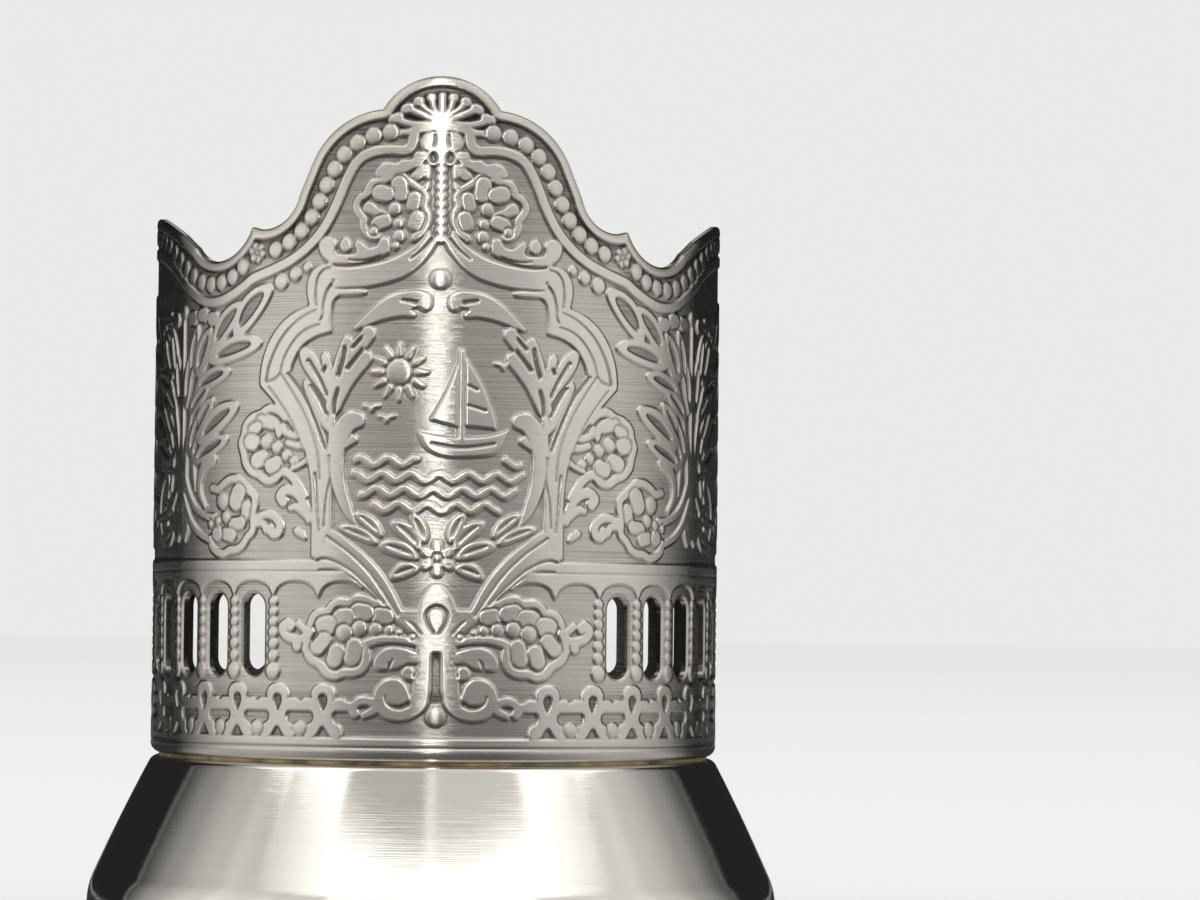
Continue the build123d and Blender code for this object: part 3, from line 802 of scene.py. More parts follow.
def side_spray(c):
    """The spray beside the cartouche, with a flower before its stem and a volute behind it."""
    spray_half(c, False)
    spray_half(c, True)
    spray_flower(c)
    c.fill([
        (STEM - 1.2, 29.8), (STEM - 1.9, 27.4), (STEM - 1.0, 25.7), (STEM, 26.6), (STEM + 1.0, 25.7),
        (STEM + 1.9, 27.4), (STEM + 1.2, 29.8), (STEM, 28.4),
    ])
    c.line([(STEM, 52.2), (STEM, 44.0), (STEM, 36.0), (STEM, 29.0)], 0.6, 1.2)
    c.bead(STEM, 53.0, 0.9)
    c.line([
        (38.0, 33.6), (39.6, 34.3), (41.8, 34.0), (44.0, 32.2), (44.9, 29.6), (44.2, 26.9), (42.2, 25.4),
        (40.2, 25.8), (39.2, 27.6), (39.7, 29.6), (41.2, 30.5), (42.6, 29.6), (42.4, 28.2), (41.4, 27.9),
    ], 0.8, 0.7)
    c.bead(47.2, 28.0, 0.9)
    c.line([(QUARTER, 25.5), (QUARTER, 45.0)], 0.9, 0.6)
    c.leaf((QUARTER, 44.0), (QUARTER, 49.5), 1.9, 0.0, 0.4)
    for up, reach in ((27.0, 3.6), (31.0, 4.6), (35.0, 5.4), (39.0, 4.6), (42.5, 3.4)):
        c.leaf((QUARTER, up), (QUARTER - reach, up + 3.2), 1.9, 0.4, 0.4)
    c.line([(45.0, 29.5), (46.6, 30.6), (48.4, 30.0), (48.8, 28.4)], 0.7, 0.6)


FRONT_MOTIFS = (
    crest_shell, crest_flower, crest_acanthus, cartouche, medallion_frame, diagonal_bands, lower_palmette,
    lower_flower, side_flower,
)
ROUND_MOTIFS = (rim_border, gallery, lattice, bottom_moulding)


# Relief of the finished ornament

EDGE_SOFT = 0.06
PAD_MARGIN = 0.8
HOLE_ROUND = 0.4
# The side's spray is mirrored from this angle on, about the quarter
SPRAY_START = 33
# Darkness of the shapes' edges and narrow gaps, patina with painted shade; of grooves and stains, patina; of
# the veil at the rim and the foot; and painted shade on the bottom roll
EDGE_DARK = 0.3
GAP_DARK = 0.45
GROOVE_DARK = 0.3
STAIN_DARK = 0.5
VEIL_DARK = 0.2
VEIL_SPARED_ON_TOPS = 0.6
FULL_STAIN = 0.3
# An edge's dark line, patina with painted shade at the shape's foot, lies this far outside it and is this
# wide
EDGE_AWAY = 0.05
EDGE_WIDTH = 0.07
# A gap is narrow, and gets patina with painted shade, where shapes fill more than a share of what lies within
# this reach
GAP_REACH = 0.6
GAP_GAIN = 2.4
GAP_FROM = 1.05
# Heights where the veil starts to rise towards the rim and ends above the foot, and where the painted shade
# on the bottom roll ends above the bottom ridge
RIM_VEIL_FROM = 55
RIM_VEIL_RISE = 8
FOOT_VEIL_END = 9
BAND_SHADE_END = 1.6


def blurred(field, reach):
    """A field softened by a bell curve whose reach is in millimetres."""
    spread = reach / STEP
    half = int(3 * spread) + 1
    weights = np.exp(-0.5 * (np.arange(-half, half + 1) / spread) ** 2)
    weights /= weights.sum()
    for _ in range(2):
        padded = np.pad(field, [(half, half), (0, 0)], mode="edge")
        soft = np.zeros_like(field)
        for place, weight in enumerate(weights):
            soft += np.float32(weight) * padded[place : place + len(field)]
        field = np.ascontiguousarray(soft.T)
    return field


def draw_ornament():
    """The whole sleeve's ornament in the flat drawing."""
    half = Carving()
    side_spray(half)
    mirror_column = int(round(QUARTER / STEP))
    reach = int(round((QUARTER - across_at(SPRAY_START)) / STEP))
    for layer in (half.raised, half.cut):
        layer[:, mirror_column + 1 : mirror_column + reach] = np.maximum(
            layer[:, mirror_column + 1 : mirror_column + reach],
            layer[:, mirror_column - 1 : mirror_column - reach : -1],
        )
    for motif in (*FRONT_MOTIFS, *ROUND_MOTIFS):
        motif(half)
    whole = half.mirrored()
    medallion_picture(whole)
    return whole


class Relief:
    """Height, slopes and darkness of the ornament over the whole sleeve; the darkness holds patina and
    painted shade.
    """

    def __init__(self, carving, height, bevel):
        self.first = carving.first
        body = np.clip((carving.raised + GROWTH + EDGE_SOFT) / bevel, 0, 1)
        shape = np.minimum(carving.raised + GROWTH, CUT_SHRINK - carving.cut)
        rise = np.clip((shape + EDGE_SOFT) / bevel, 0, 1)
        top = (1 - (1 - rise) ** 2) * carving.crown
        self.top = blurred(top, EDGE_SOFT) * self.clear_of_pads(shape.shape)
        rounding = np.clip(1 + carving.hole / HOLE_ROUND, 0, 1)
        self.height = self.top * height - 0.5 * HOLE_ROUND * rounding**2
        self.slope_up, self.slope_across = np.gradient(self.height, STEP)
        # A dark line just outside each shape's edge: patina with painted shade at its foot
        edge = np.exp(-(((shape + EDGE_AWAY) / EDGE_WIDTH) ** 2))
        # Darker where shapes crowd round a narrow gap, like ambient occlusion: patina with painted shade
        crowded = np.clip(blurred(body, GAP_REACH) * GAP_GAIN - GAP_FROM, 0, 1) * (1 - body)
        stain = np.clip(carving.stain / FULL_STAIN, 0, 1) * (1 - self.top)
        up = np.arange(shape.shape[0])[:, None] * STEP
        near_rim = np.clip((up - RIM_VEIL_FROM) / RIM_VEIL_RISE, 0, 1)
        near_foot = np.clip(FOOT_VEIL_END - up, 0, 1)
        # Painted shade on the bottom roll; the veil is lighter on raised tops
        shade_on_band = np.clip(2 * (BAND_SHADE_END - up), 0, 1)
        veil = VEIL_DARK * near_rim + VEIL_DARK * near_foot + VEIL_DARK * shade_on_band
        hollow = np.clip(body - rise, 0, 1)
        dark = EDGE_DARK * edge + GAP_DARK * crowded + GROOVE_DARK * hollow + STAIN_DARK * stain
        dark = dark + veil * (1 - VEIL_SPARED_ON_TOPS * self.top)
        self.dark = blurred(np.clip(dark, 0, 1), EDGE_SOFT)

    def clear_of_pads(self, shape):
        """Nought where the handle's pads are soldered on, so that they lie flat."""
        across, up = np.meshgrid((np.arange(shape[1]) + self.first) * STEP, np.arange(shape[0]) * STEP)
        from_back = (HALF_ROUND - np.abs(across)) * SLEEVE_R / FACE_R
        clear = np.ones(shape, np.float32)
        for node in ("upper_handle_solder", "lower_handle_solder"):
            low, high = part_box(node)
            beside = from_back - high.x / MM
            above = np.maximum(low.z / MM - JOINT_Z - up, up - high.z / MM + JOINT_Z)
            clear *= np.clip(np.maximum(beside, above) / PAD_MARGIN, 0, 1)
        return clear

    def at(self, field, across, up):
        """The field's values at places of the flat drawing."""
        x = np.clip(across / STEP - self.first, 0, field.shape[1] - 1.001)
        y = np.clip(up / STEP, 0, field.shape[0] - 1.001)
        i, j = x.astype(int), y.astype(int)
        x, y = x - i, y - j
        lower = field[j, i] * (1 - x) + field[j, i + 1] * x
        upper = field[j + 1, i] * (1 - x) + field[j + 1, i + 1] * x
        return lower * (1 - y) + upper * y


# Sleeve, in upright sectors of its wall

BAKE_MAP = "OFBake"
BEND_ROWS = 9
RIM_ROWS = 4
RIM_ROUND = 0.35
COARSE = 8
# Painted shade laid evenly over the whole bore
BORE_PAINTED_SHADE = 0.45
# The flat map's border and width, and where the outer face, the bore and the edges' strip lie in it
MAP_BORDER = 0.01
MAP_WIDE = 0.98
OUTER_TALL = 0.7
BORE_FROM = 0.73
BORE_TALL = 0.22
STRIP_LOW = 0.965
STRIP_HIGH = 0.99
STRIP_FILL = 0.9
# Each half's sectors: from and to in degrees from the front, and the mesh's step in millimetres
SECTORS = (
    ("cartouche", 0.0, 33.5, 0.14),
    ("spray", 33.5, 73.5, 0.15),
    ("flank", 73.5, 123.5, 0.2),
    ("back", 123.5, 180.0 - np.degrees(asin(SEAM_W / 2 / BORE_R)), 0.2),
)


class SleeveSector:
    """A closed piece of the sleeve's wall: relief outside, smooth bore inside, slots cut through."""

    def __init__(self, relief, start, end, step):
        self.relief = relief
        columns = int(round(abs(across_at(end - start)) / step))
        self.angles = np.linspace(radians(start), radians(end), columns + 1)
        self.lay_rows(step)
        self.cut_slots()
        self.outer_faces()
        self.inner_faces()
        self.edge_faces()

    def lay_rows(self, step):
        """Rows from the flange's edge, round the bend and up the wall; the top rows stretch to the rim."""
        across = np.abs(self.angles) * FACE_R
        line = rim_line()
        rim = np.interp(across, line[:, 0], line[:, 1])
        bend_top = SLEEVE_FOOT + BEND_R
        straight = np.linspace(bend_top, GALLERY_TOP, int(round((GALLERY_TOP - bend_top) / step)) + 1)[1:]
        share = np.linspace(0, 1, int(round((rim.max() - GALLERY_TOP) / step)) + 1)[1:]
        roll = np.linspace(0, pi / 2, RIM_ROWS + 1)[1:]
        wall = np.vstack([
            np.repeat(straight[:, None], len(across), axis=1),
            GALLERY_TOP + np.outer(share, rim - RIM_ROUND - GALLERY_TOP),
            rim + RIM_ROUND * (np.sin(roll) - 1)[:, None],
        ])
        low = 1 + BEND_ROWS
        self.turn = np.full(low + len(wall), pi / 2)
        self.turn[:low] = np.concatenate([[0], np.linspace(0, pi / 2, BEND_ROWS)])
        self.roll = np.concatenate([np.zeros(len(self.turn) - RIM_ROWS), roll])[:, None]
        self.middle_r = np.full(len(self.turn), SLEEVE_R - BEND_R)
        self.middle_r[0] = BORE_R - FLANGE_REACH
        self.up = np.vstack([np.full((low, len(across)), bend_top), wall])
        self.across = np.repeat(self.angles[None, :] * FACE_R, len(self.turn), axis=0)
        self.low = low

    def cut_slots(self):
        """Marks the cells outside the slots, and draws the vertices at a slot's edge onto its outline."""
        place = np.round((np.abs(self.across) - FIRST_ACROSS) / PITCH).clip(0, SLOTS - 1)
        middle = np.sign(self.across) * (FIRST_ACROSS + place * PITCH)
        half = SLOT_W / 2 * FACE_R / SLEEVE_R
        centre = np.clip(self.up, SLOT_FOOT + SLOT_W / 2, SLOT_TOP - SLOT_W / 2)
        dx, dy = self.across - middle, self.up - centre
        away = np.hypot(dx, dy)
        mean = (away[1:, 1:] + away[1:, :-1] + away[:-1, 1:] + away[:-1, :-1]) / 4
        self.kept = mean > half
        around = np.pad(self.kept.astype(int), 1, mode="edge")
        held = around[1:, 1:] + around[1:, :-1] + around[:-1, 1:] + around[:-1, :-1]
        rim = (held > 0) & (held < 4)
        pull = np.where(rim, half / np.maximum(away, 1e-6), 1)
        self.across = middle + dx * pull
        self.up = np.where(rim, centre + dy * pull, self.up)

    def outer_faces(self):
        rows, columns = self.across.shape
        self.index = np.arange(rows * columns).reshape(rows, columns)
        j, i = np.nonzero(self.kept)
        n = self.index
        self.faces = np.stack([n[j, i], n[j, i + 1], n[j + 1, i + 1], n[j + 1, i]], axis=1).tolist()
        self.outer_count = len(self.faces)

    def inner_faces(self):
        """Large cells where the bore is whole, with all their border's points where it isn't."""
        rows, columns = self.kept.shape
        inner = self.index + self.index.size
        whole = {
            (j, i): j >= self.low and bool(self.kept[j : j + COARSE, i : i + COARSE].all())
            for j in range(0, rows, COARSE)
            for i in range(0, columns, COARSE)
        }
        for (j, i), closed in whole.items():
            j1, i1 = min(j + COARSE, rows), min(i + COARSE, columns)
            if not closed:
                for y, x in np.argwhere(self.kept[j:j1, i:i1]) + (j, i):
                    self.faces.append([inner[y, x], inner[y + 1, x], inner[y + 1, x + 1], inner[y, x + 1]])
                continue
            sides = (
                ((j, i - COARSE), [(y, i) for y in range(j, j1)]),
                ((j + COARSE, i), [(j1, x) for x in range(i, i1)]),
                ((j, i + COARSE), [(y, i1) for y in range(j1, j, -1)]),
                ((j - COARSE, i), [(j, x) for x in range(i1, i, -1)]),
            )
            ring = []
            for neighbour, side in sides:
                ring += side[:1] if whole.get(neighbour) else side
            self.faces.append([inner[spot] for spot in ring])
        self.inner_end = len(self.faces)

    def edge_faces(self):
        """The wall's thickness along the rim, the flange, the sector's ends and the slots."""
        n, size = self.index, self.index.size
        fenced = np.pad(self.kept, 1)
        inside = fenced[1:-1, 1:-1]
        steps = (
            (fenced[:-2, 1:-1], (0, 0), (0, 1)),
            (fenced[1:-1, 2:], (0, 1), (1, 1)),
            (fenced[2:, 1:-1], (1, 1), (1, 0)),
            (fenced[1:-1, :-2], (1, 0), (0, 0)),
        )
        for neighbour, a, b in steps:
            j, i = np.nonzero(inside & ~neighbour)
            first, second = n[j + a[0], i + a[1]], n[j + b[0], i + b[1]]
            self.faces += np.stack([second, first, first + size, second + size], axis=1).tolist()

    def points(self, depth):
        """Places at a depth from the bend's middle line: the outer face or the bore."""
        turn = self.turn[:, None]
        angle = self.across / FACE_R
        radius = self.middle_r[:, None] + depth * np.sin(turn)
        height = JOINT_Z + self.up - depth * np.cos(turn)
        return np.stack([radius * np.sin(angle), -radius * np.cos(angle), height], axis=-1).reshape(-1, 3)

    def on_wall(self, field):
        """The relief's field on the wall's rows, running out to nought round the bend."""
        return self.relief.at(field, self.across, self.up) * np.sin(self.turn)[:, None] ** 2

    def normals(self):
        """Outward directions of the outer face, from the relief's slopes."""
        angle, turn = self.across / FACE_R, self.turn[:, None]
        outwards = np.stack([np.sin(angle), -np.cos(angle), np.zeros_like(angle)], axis=-1)
        sideways = np.stack([np.cos(angle), np.sin(angle), np.zeros_like(angle)], axis=-1)
        lean = self.on_wall(self.relief.slope_across)[..., None]
        normal = outwards * np.sin(turn)[..., None] - sideways * lean
        normal[..., 2] = -np.cos(turn) - self.on_wall(self.relief.slope_up)
        over = np.gradient(self.up[-1], self.across[-1])[None, :, None] * -sideways
        over[..., 2] += 1
        over /= np.linalg.norm(over, axis=-1, keepdims=True)
        normal = normal * np.cos(self.roll)[..., None] + over * np.sin(self.roll)[..., None]
        normal /= np.linalg.norm(normal, axis=-1, keepdims=True)
        bore = -outwards * np.sin(turn)[..., None]
        bore[..., 2] = np.cos(turn)
        return normal.reshape(-1, 3), bore.reshape(-1, 3)

    def mesh(self, name):
        height = self.on_wall(self.relief.height)
        rolled_in = RIM_ROUND * (1 - np.cos(self.roll))
        outer = self.points(BEND_R + height - rolled_in)
        inner = self.points(np.full(height.shape, BEND_R - WALL))
        corners = np.concatenate([np.array(face) for face in self.faces])
        sizes = np.array([len(face) for face in self.faces])
        used, corners = np.unique(corners, return_inverse=True)
        places = np.concatenate([outer, inner])[used]
        starts = np.concatenate([[0], np.cumsum(sizes)[:-1]])
        faces = [corners[s : s + n].tolist() for s, n in zip(starts, sizes)]
        mesh = bpy.data.meshes.new(name)
        mesh.from_pydata((places * MM).tolist(), [], faces)
        mesh.polygons.foreach_set("use_smooth", np.ones(len(faces), bool))
        outer_loops, inner_loops = starts[self.outer_count], starts[self.inner_end]
        normal = np.concatenate(self.normals())[used][corners]
        edges = places[corners[inner_loops:].reshape(-1, 4)]
        flat = np.cross(edges[:, 2] - edges[:, 0], edges[:, 3] - edges[:, 1])
        flat /= np.maximum(np.linalg.norm(flat, axis=1, keepdims=True), 1e-9)
        normal[inner_loops:] = np.repeat(flat, 4, axis=0)
        mesh.normals_split_custom_set(normal.tolist())
        self.lay_map(mesh, used, corners, outer_loops, inner_loops)
        # The bore gets an even painted shade in the darkness attribute and no raised share
        for field, label, bore in ((self.relief.dark, "patina", BORE_PAINTED_SHADE), (self.relief.top, "raised", 0)):
            values = np.concatenate([self.on_wall(field).ravel(), np.full(self.index.size, bore)])[used]
            mesh.attributes.new(label, "FLOAT", "POINT").data.foreach_set("value", values.astype(np.float32))
        mesh.use_auto_texspace = False
        mesh.texspace_location = (0, 0, JOINT_Z * MM)
        mesh.texspace_size = [SLEEVE_R * MM] * 3
        return mesh

    def lay_map(self, mesh, used, corners, outer_loops, inner_loops):
        """A flat map of the piece: the outer face below, the bore above it, the edges in a strip on top."""
        rows, columns = self.across.shape
        j, i = np.divmod(np.tile(np.arange(rows * columns), 2)[used][corners], columns)
        spot = np.stack([MAP_BORDER + MAP_WIDE * i / columns, MAP_BORDER + OUTER_TALL * j / rows], axis=1)
        spot[outer_loops:inner_loops, 1] = BORE_FROM + BORE_TALL * j[outer_loops:inner_loops] / rows
        strips = (len(corners) - inner_loops) // 4
        left = np.repeat(MAP_BORDER + MAP_WIDE * np.arange(strips) / strips, 4).reshape(-1, 4)
        left[:, 1:3] += STRIP_FILL / strips
        spot[inner_loops:, 0] = left.ravel()
        spot[inner_loops:, 1] = np.tile([STRIP_LOW, STRIP_LOW, STRIP_HIGH, STRIP_HIGH], strips)
        mesh.uv_layers.new(name=BAKE_MAP).uv.foreach_set("vector", spot.astype(np.float32).ravel())


# Turned pieces

TURN_STEPS = 256
SEAT_STEPS = 128
SHARP_ANGLE = 35


def added(primitive, name, **options):
    """A primitive that is added to the scene and named."""
    bpy.ops.object.select_all(action="DESELECT")
    primitive(**options)
    piece = bpy.context.object
    piece.name = piece.data.name = name
    return piece


def filleted(corners, radii, cuts=12):
    """A path of (radius, height) corners, each inner one rounded."""
    path = [np.array(corners[0], float)]
    for before, corner, after, radius in zip(corners, corners[1:], corners[2:], radii):
        corner = np.array(corner, float)
        to_back, to_front = np.array(before) - corner, np.array(after) - corner
        to_back, to_front = to_back / hypot(*to_back), to_front / hypot(*to_front)
        half = np.arccos(np.clip(to_back @ to_front, -1, 1)) / 2
        bisector = (to_back + to_front) / hypot(*(to_back + to_front))
        centre = corner + bisector * radius / sin(half)
        first = corner + to_back * radius / np.tan(half) - centre
        last = corner + to_front * radius / np.tan(half) - centre
        sweep = pi - 2 * half
        for t in np.linspace(0, 1, cuts + 1):
            arc = (sin((1 - t) * sweep) * first + sin(t * sweep) * last) / sin(sweep)
            path.append(centre + arc)
    path.append(np.array(corners[-1], float))
    return path


def inset(corners, depth):
    """The corners of the same path, moved to the right of its way by a depth."""
    moved = []
    runs = [np.array(b, float) - np.array(a, float) for a, b in zip(corners, corners[1:])]
    rights = [np.array([run[1], -run[0]]) / hypot(*run) for run in runs]
    for place, corner in enumerate(corners):
        before, after = rights[max(place - 1, 0)], rights[min(place, len(rights) - 1)]
        bisector = before + after
        moved.append(np.array(corner) + bisector * (2 * depth / (bisector @ bisector)))
    return moved


def swelled(outline, belly):
    """The outline with its longest stretch bowed out."""
    runs = [hypot(*(b - a)) for a, b in zip(outline, outline[1:])]
    place = 1 + runs[1:-1].index(max(runs[1:-1]))
    return outline[:place] + list(bowed(outline[place], outline[place + 1], belly)) + outline[place + 2 :]


def turned(name, outline, steps):
    """A closed outline of (radius, height) points, spun round the axis as on a lathe."""
    piece = added(bpy.ops.mesh.primitive_plane_add, name, size=MM, location=(0, 0, 0))
    bpy.ops.object.mode_set(mode="EDIT")
    bpy.ops.mesh.select_all(action="SELECT")
    bpy.ops.mesh.merge(type="CENTER")
    here = np.zeros(2)
    for place, spot in enumerate([*outline, outline[0]]):
        move = (spot - here) * MM
        shift = {"value": (move[0], 0, move[1])}
        if place == 0:
            bpy.ops.transform.translate(**shift)
        else:
            bpy.ops.mesh.extrude_region_move(TRANSFORM_OT_translate=shift)
        here = spot
    bpy.ops.mesh.select_all(action="SELECT")
    bpy.ops.mesh.spin(steps=steps, angle=tau, center=(0, 0, 0), axis=(0, 0, 1))
    bpy.ops.mesh.select_all(action="SELECT")
    bpy.ops.mesh.remove_doubles(threshold=1e-6)
    bpy.ops.mesh.normals_make_consistent(inside=False)
    bpy.ops.object.mode_set(mode="OBJECT")
    bpy.ops.object.shade_smooth_by_angle(angle=radians(SHARP_ANGLE))
    return piece


# Finishes


class Value:
    """A socket of some nodes, so that shader maths reads as plain expressions."""

    def __init__(self, nodes, socket):
        self.nodes = nodes
        self.socket = socket

    def maths(self, operation, first, second=0.0):
        return self.nodes.node("ShaderNodeMath", {"operation": operation}, {0: first, 1: second})

    def __add__(self, other):
        return self.maths("ADD", self, other)

    def __sub__(self, other):
        return self.maths("SUBTRACT", self, other)

    def __rsub__(self, other):
        return self.maths("SUBTRACT", other, self)

    def __mul__(self, other):
        return self.maths("MULTIPLY", self, other)

    def held(self):
        """The value kept from nought to one."""
        return self.maths("MINIMUM", self.maths("MAXIMUM", self, 0.0), 1.0)

    __radd__ = __add__
    __rmul__ = __mul__


class Nodes:
    """A tree of shader nodes."""

    def __init__(self, tree):
        self.tree = tree

    def node(self, kind, settings, sockets, output=0):
        """A node with its settings and the values or links of its sockets; gives one of its outputs."""
        made = self.tree.nodes.new(kind)
        for setting, value in settings.items():
            setattr(made, setting, value)
        for socket, value in sockets.items():
            self.feed(made.inputs[socket], value)
        return Value(self, made.outputs[output])

    def feed(self, socket, value):
        if isinstance(value, Value):
            self.tree.links.new(value.socket, socket)
        else:
            socket.default_value = value


class Finish(Nodes):
    """A material and its nodes."""

    def __init__(self, name, **constants):
        self.material = bpy.data.materials.new(name)
        self.material.use_nodes = True
        super().__init__(self.material.node_tree)
        self.shader = self.tree.nodes["Principled BSDF"]
        for socket, value in constants.items():
            self.set(socket.replace("_", " "), value)

    def set(self, socket, value):
        self.feed(self.shader.inputs[socket], value)

    def place(self, scale):
        """Object coordinates, stretched."""
        here = self.node("ShaderNodeTexCoord", {}, {}, "Object")
        return self.node("ShaderNodeMapping", {}, {"Vector": here, "Scale": scale})

    def noise(self, scale, detail):
        """Cloudy noise from nought to one, its grain stretched by the scale on each axis."""
        sockets = {"Vector": self.place(scale), "Scale": 1.0, "Detail": detail}
        return self.node("ShaderNodeTexNoise", {}, sockets)

    def step(self, value, low, high):
        """Nought below one value and one above another, with a soft way between."""
        settings = {"interpolation_type": "SMOOTHSTEP"}
        return self.node("ShaderNodeMapRange", settings, {"Value": value, "From Min": low, "From Max": high})

    def mix(self, share, first, second):
        """A colour between two."""
        return self.node("ShaderNodeMix", {"data_type": "RGBA"}, {0: share, 6: first, 7: second}, 2)

    def painted(self, label):
        """A piece's own painted attribute."""
        return self.node("ShaderNodeAttribute", {"attribute_name": label}, {}, "Fac")

    def bump(self, height, strength, distance):
        sockets = {"Height": height, "Strength": strength, "Distance": distance}
        self.set("Normal", self.node("ShaderNodeBump", {}, sockets, "Normal"))


# Brush lines that run round the axis spread reflections up and down more than sideways
BRUSHED_ROUND = {"Anisotropic": 0.95, "Anisotropic_Rotation": 0.25}
SATIN_ROUND = {"Anisotropic": 0.5, "Anisotropic_Rotation": 0.25}


def chased_nickel(colours):
    """Satin nickel silver: bright where raised, blackened in the recesses with patina and painted shade,
    brushed round.
    """
    f = Finish("chased_nickel", Metallic=1.0, **BRUSHED_ROUND)
    patina, raised = f.painted("patina"), f.painted("raised")
    brush = f.noise((60, 60, 11000), 3.0)
    hairlines = f.noise((160, 160, 26000), 2.0)
    cloud = f.noise((170, 170, 170), 4.0)
    streaks = f.step(brush, 0.42, 0.72)
    field = 1 - raised
    # Patina and painted shade from the attribute, a darker field round the raised ornament, and faint streaks
    dirt_and_shade = (patina * (0.75 + 0.4 * cloud) + field * (0.22 + 0.18 * streaks) + 0.06 * streaks).held()
    f.set("Base Color", f.mix(dirt_and_shade, colours.nickel, colours.patina))
    f.set("Roughness", 0.15 + 0.12 * dirt_and_shade + 0.06 * (cloud - 0.5) + 0.05 * hairlines)
    f.bump(brush + hairlines * 0.7, 0.4, 0.00002)
    return f.material


def brushed_nickel(colours, name, lines=9000):
    """Plain nickel silver with brush lines round the axis and a few faint clouds."""
    f = Finish(name, Metallic=1.0, **SATIN_ROUND)
    brush = f.noise((45, 45, lines), 3.0)
    hairlines = f.noise((120, 120, 3 * lines), 2.0)
    cloud = f.noise((90, 90, 60), 4.0)
    dull = f.step(cloud, 0.45, 0.8)
    worn = 0.25 * dull + 0.5 * f.step(brush, 0.45, 0.8)
    f.set("Base Color", f.mix(worn, colours.bright_nickel, colours.nickel))
    f.set("Roughness", 0.055 + 0.03 * dull + 0.035 * hairlines)
    f.bump(brush + hairlines * 0.6, 0.2, 0.00002)
    return f.material


def old_solder(colours, name, clean):
    """Dull solder, darkened, with green copper rust in places."""
    f = Finish(name, Metallic=0.85, Roughness=0.5)
    spots = f.noise((260, 260, 500), 4.0)
    patches = f.noise((40, 40, 40), 2.0)
    dark = f.step(spots, 0.4, 0.7)
    green = f.step(patches, 0.6, 0.75) * f.step(spots, 0.35, 0.6)
    f.set("Base Color", f.mix(0.8 * green, f.mix(0.7 * dark, clean, colours.patina), colours.verdigris))
    f.set("Roughness", 0.38 + 0.25 * spots)
    f.bump(spots, 0.5, 0.0001)
    return f.material


# Settings


def colour_setting(label, text, colour):
    return FloatVectorProperty(
        name=label, description=text, default=(*colour, 1.0), size=4, subtype="COLOR", min=0, max=1
    )


def length_setting(label, text, millimetres):
    return FloatProperty(name=label, description=text, default=millimetres * MM, unit="LENGTH", precision=5)


def angle_setting(label, text, degrees):
    return FloatProperty(name=label, description=text, default=radians(degrees), subtype="ANGLE")


class HolderSizes(bpy.types.PropertyGroup):
    """Sizes of the ornament, the foot and the seat"""

    relief: length_setting("Relief", "Height of the raised ornament above the sleeve's field", 0.22)
    bevel: length_setting("Bevel", "Width of the rounded edge of the raised ornament", 0.21)
    foot_wall: length_setting("Foot wall", "Thickness of the spun foot's sheet", 0.9)
    foot_band: length_setting("Foot band", "Height of the upright band at the foot's lower edge", 6.1)
    foot_belly: length_setting("Foot belly", "How far the foot's slope bows out", 0.12)
    foot_lip: length_setting("Foot lip", "Reach of the lip that is turned in under the foot", 2.5)
    foot_ledge: length_setting("Foot ledge", "Reach of the foot's ledge in under the sleeve", 10.0)
    seat_hole: length_setting("Seat hole", "Radius of the round hole in the seat", 19.0)


class HolderColours(bpy.types.PropertyGroup):
    """Colours of the metals"""

    nickel: colour_setting("Nickel", "Nickel silver of the sleeve and the handle", (0.71, 0.668, 0.597))
    bright_nickel: colour_setting("Bright nickel", "Brushed nickel silver of the foot", (0.77, 0.738, 0.672))
    # The patina colour is also the colour of the painted shade on the sleeve
    patina: colour_setting("Patina", "Blackening in the recesses", (0.035, 0.032, 0.028))
    brass: colour_setting("Brass solder", "Solder line between the sleeve and the foot", (0.56, 0.46, 0.27))
    silver: colour_setting("Silver solder", "Solder films of the handle and the back seam", (0.5, 0.48, 0.45))
    verdigris: colour_setting("Verdigris", "Green copper rust in the solder line", (0.2, 0.32, 0.25))


class HolderStudio(bpy.types.PropertyGroup):
    """Camera and light"""

    distance: length_setting("Camera distance", "From the sleeve's axis to the camera", 580.0)
    height: length_setting("Camera height", "Above the floor", 41.4)
    lens: FloatProperty(name="Lens", description="Focal length", default=141.7, subtype="DISTANCE_CAMERA")
    swing: angle_setting("Swing", "How far the camera stands to the left of the crest", 0.33)
    rise: angle_setting("Rise", "How far the camera looks up", 1.81)
    aside: angle_setting("Aside", "How far the camera looks to the right of the axis", 1.98)
    lean: angle_setting("Lean", "How far the camera is tilted to its left", 0.6)
    backdrop: FloatProperty(name="Backdrop", description="Brightness of the pale surroundings", default=0.82)


# Operators


def settings():
    scene = bpy.context.scene
    return scene.holder_sizes, scene.holder_colours, scene.holder_studio


def show(piece, material, slot, *nodes):
    """Dresses a piece, seats it on the holder's body and lets it stand for its nodes."""
    piece.data.materials.clear()
    piece.data.materials.append(material)
    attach(piece, "root")
    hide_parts(*nodes)


def dress(node, material):
    """Gives a solid that is shown as it is a better finish."""
    piece = frame["nodes"][node]
    if not piece.data.materials:
        piece.data.materials.append(material)
    for slot in piece.material_slots:
        slot.material = material


class HOLDER_OT_sleeve(bpy.types.Operator):
    """Chase the ornament into the sleeve, sector by sector"""

    bl_idname = "holder.sleeve"
    bl_label = "Chased sleeve"

    def execute(self, context):
        sizes, colours, _ = settings()
        relief = Relief(draw_ornament(), sizes.relief / MM, sizes.bevel / MM)
        finish = chased_nickel(colours)
        for label, start, end, step in SECTORS:
            for side, first, last in (("right", start, end), ("left", -end, -start)):
                name = f"sleeve_{label}_{side}"
                piece = bpy.data.objects.new(name, SleeveSector(relief, first, last, step).mesh(name))
                context.scene.collection.objects.link(piece)
                show(piece, finish, "antiqued_nickel", "sleeve")
        return {"FINISHED"}


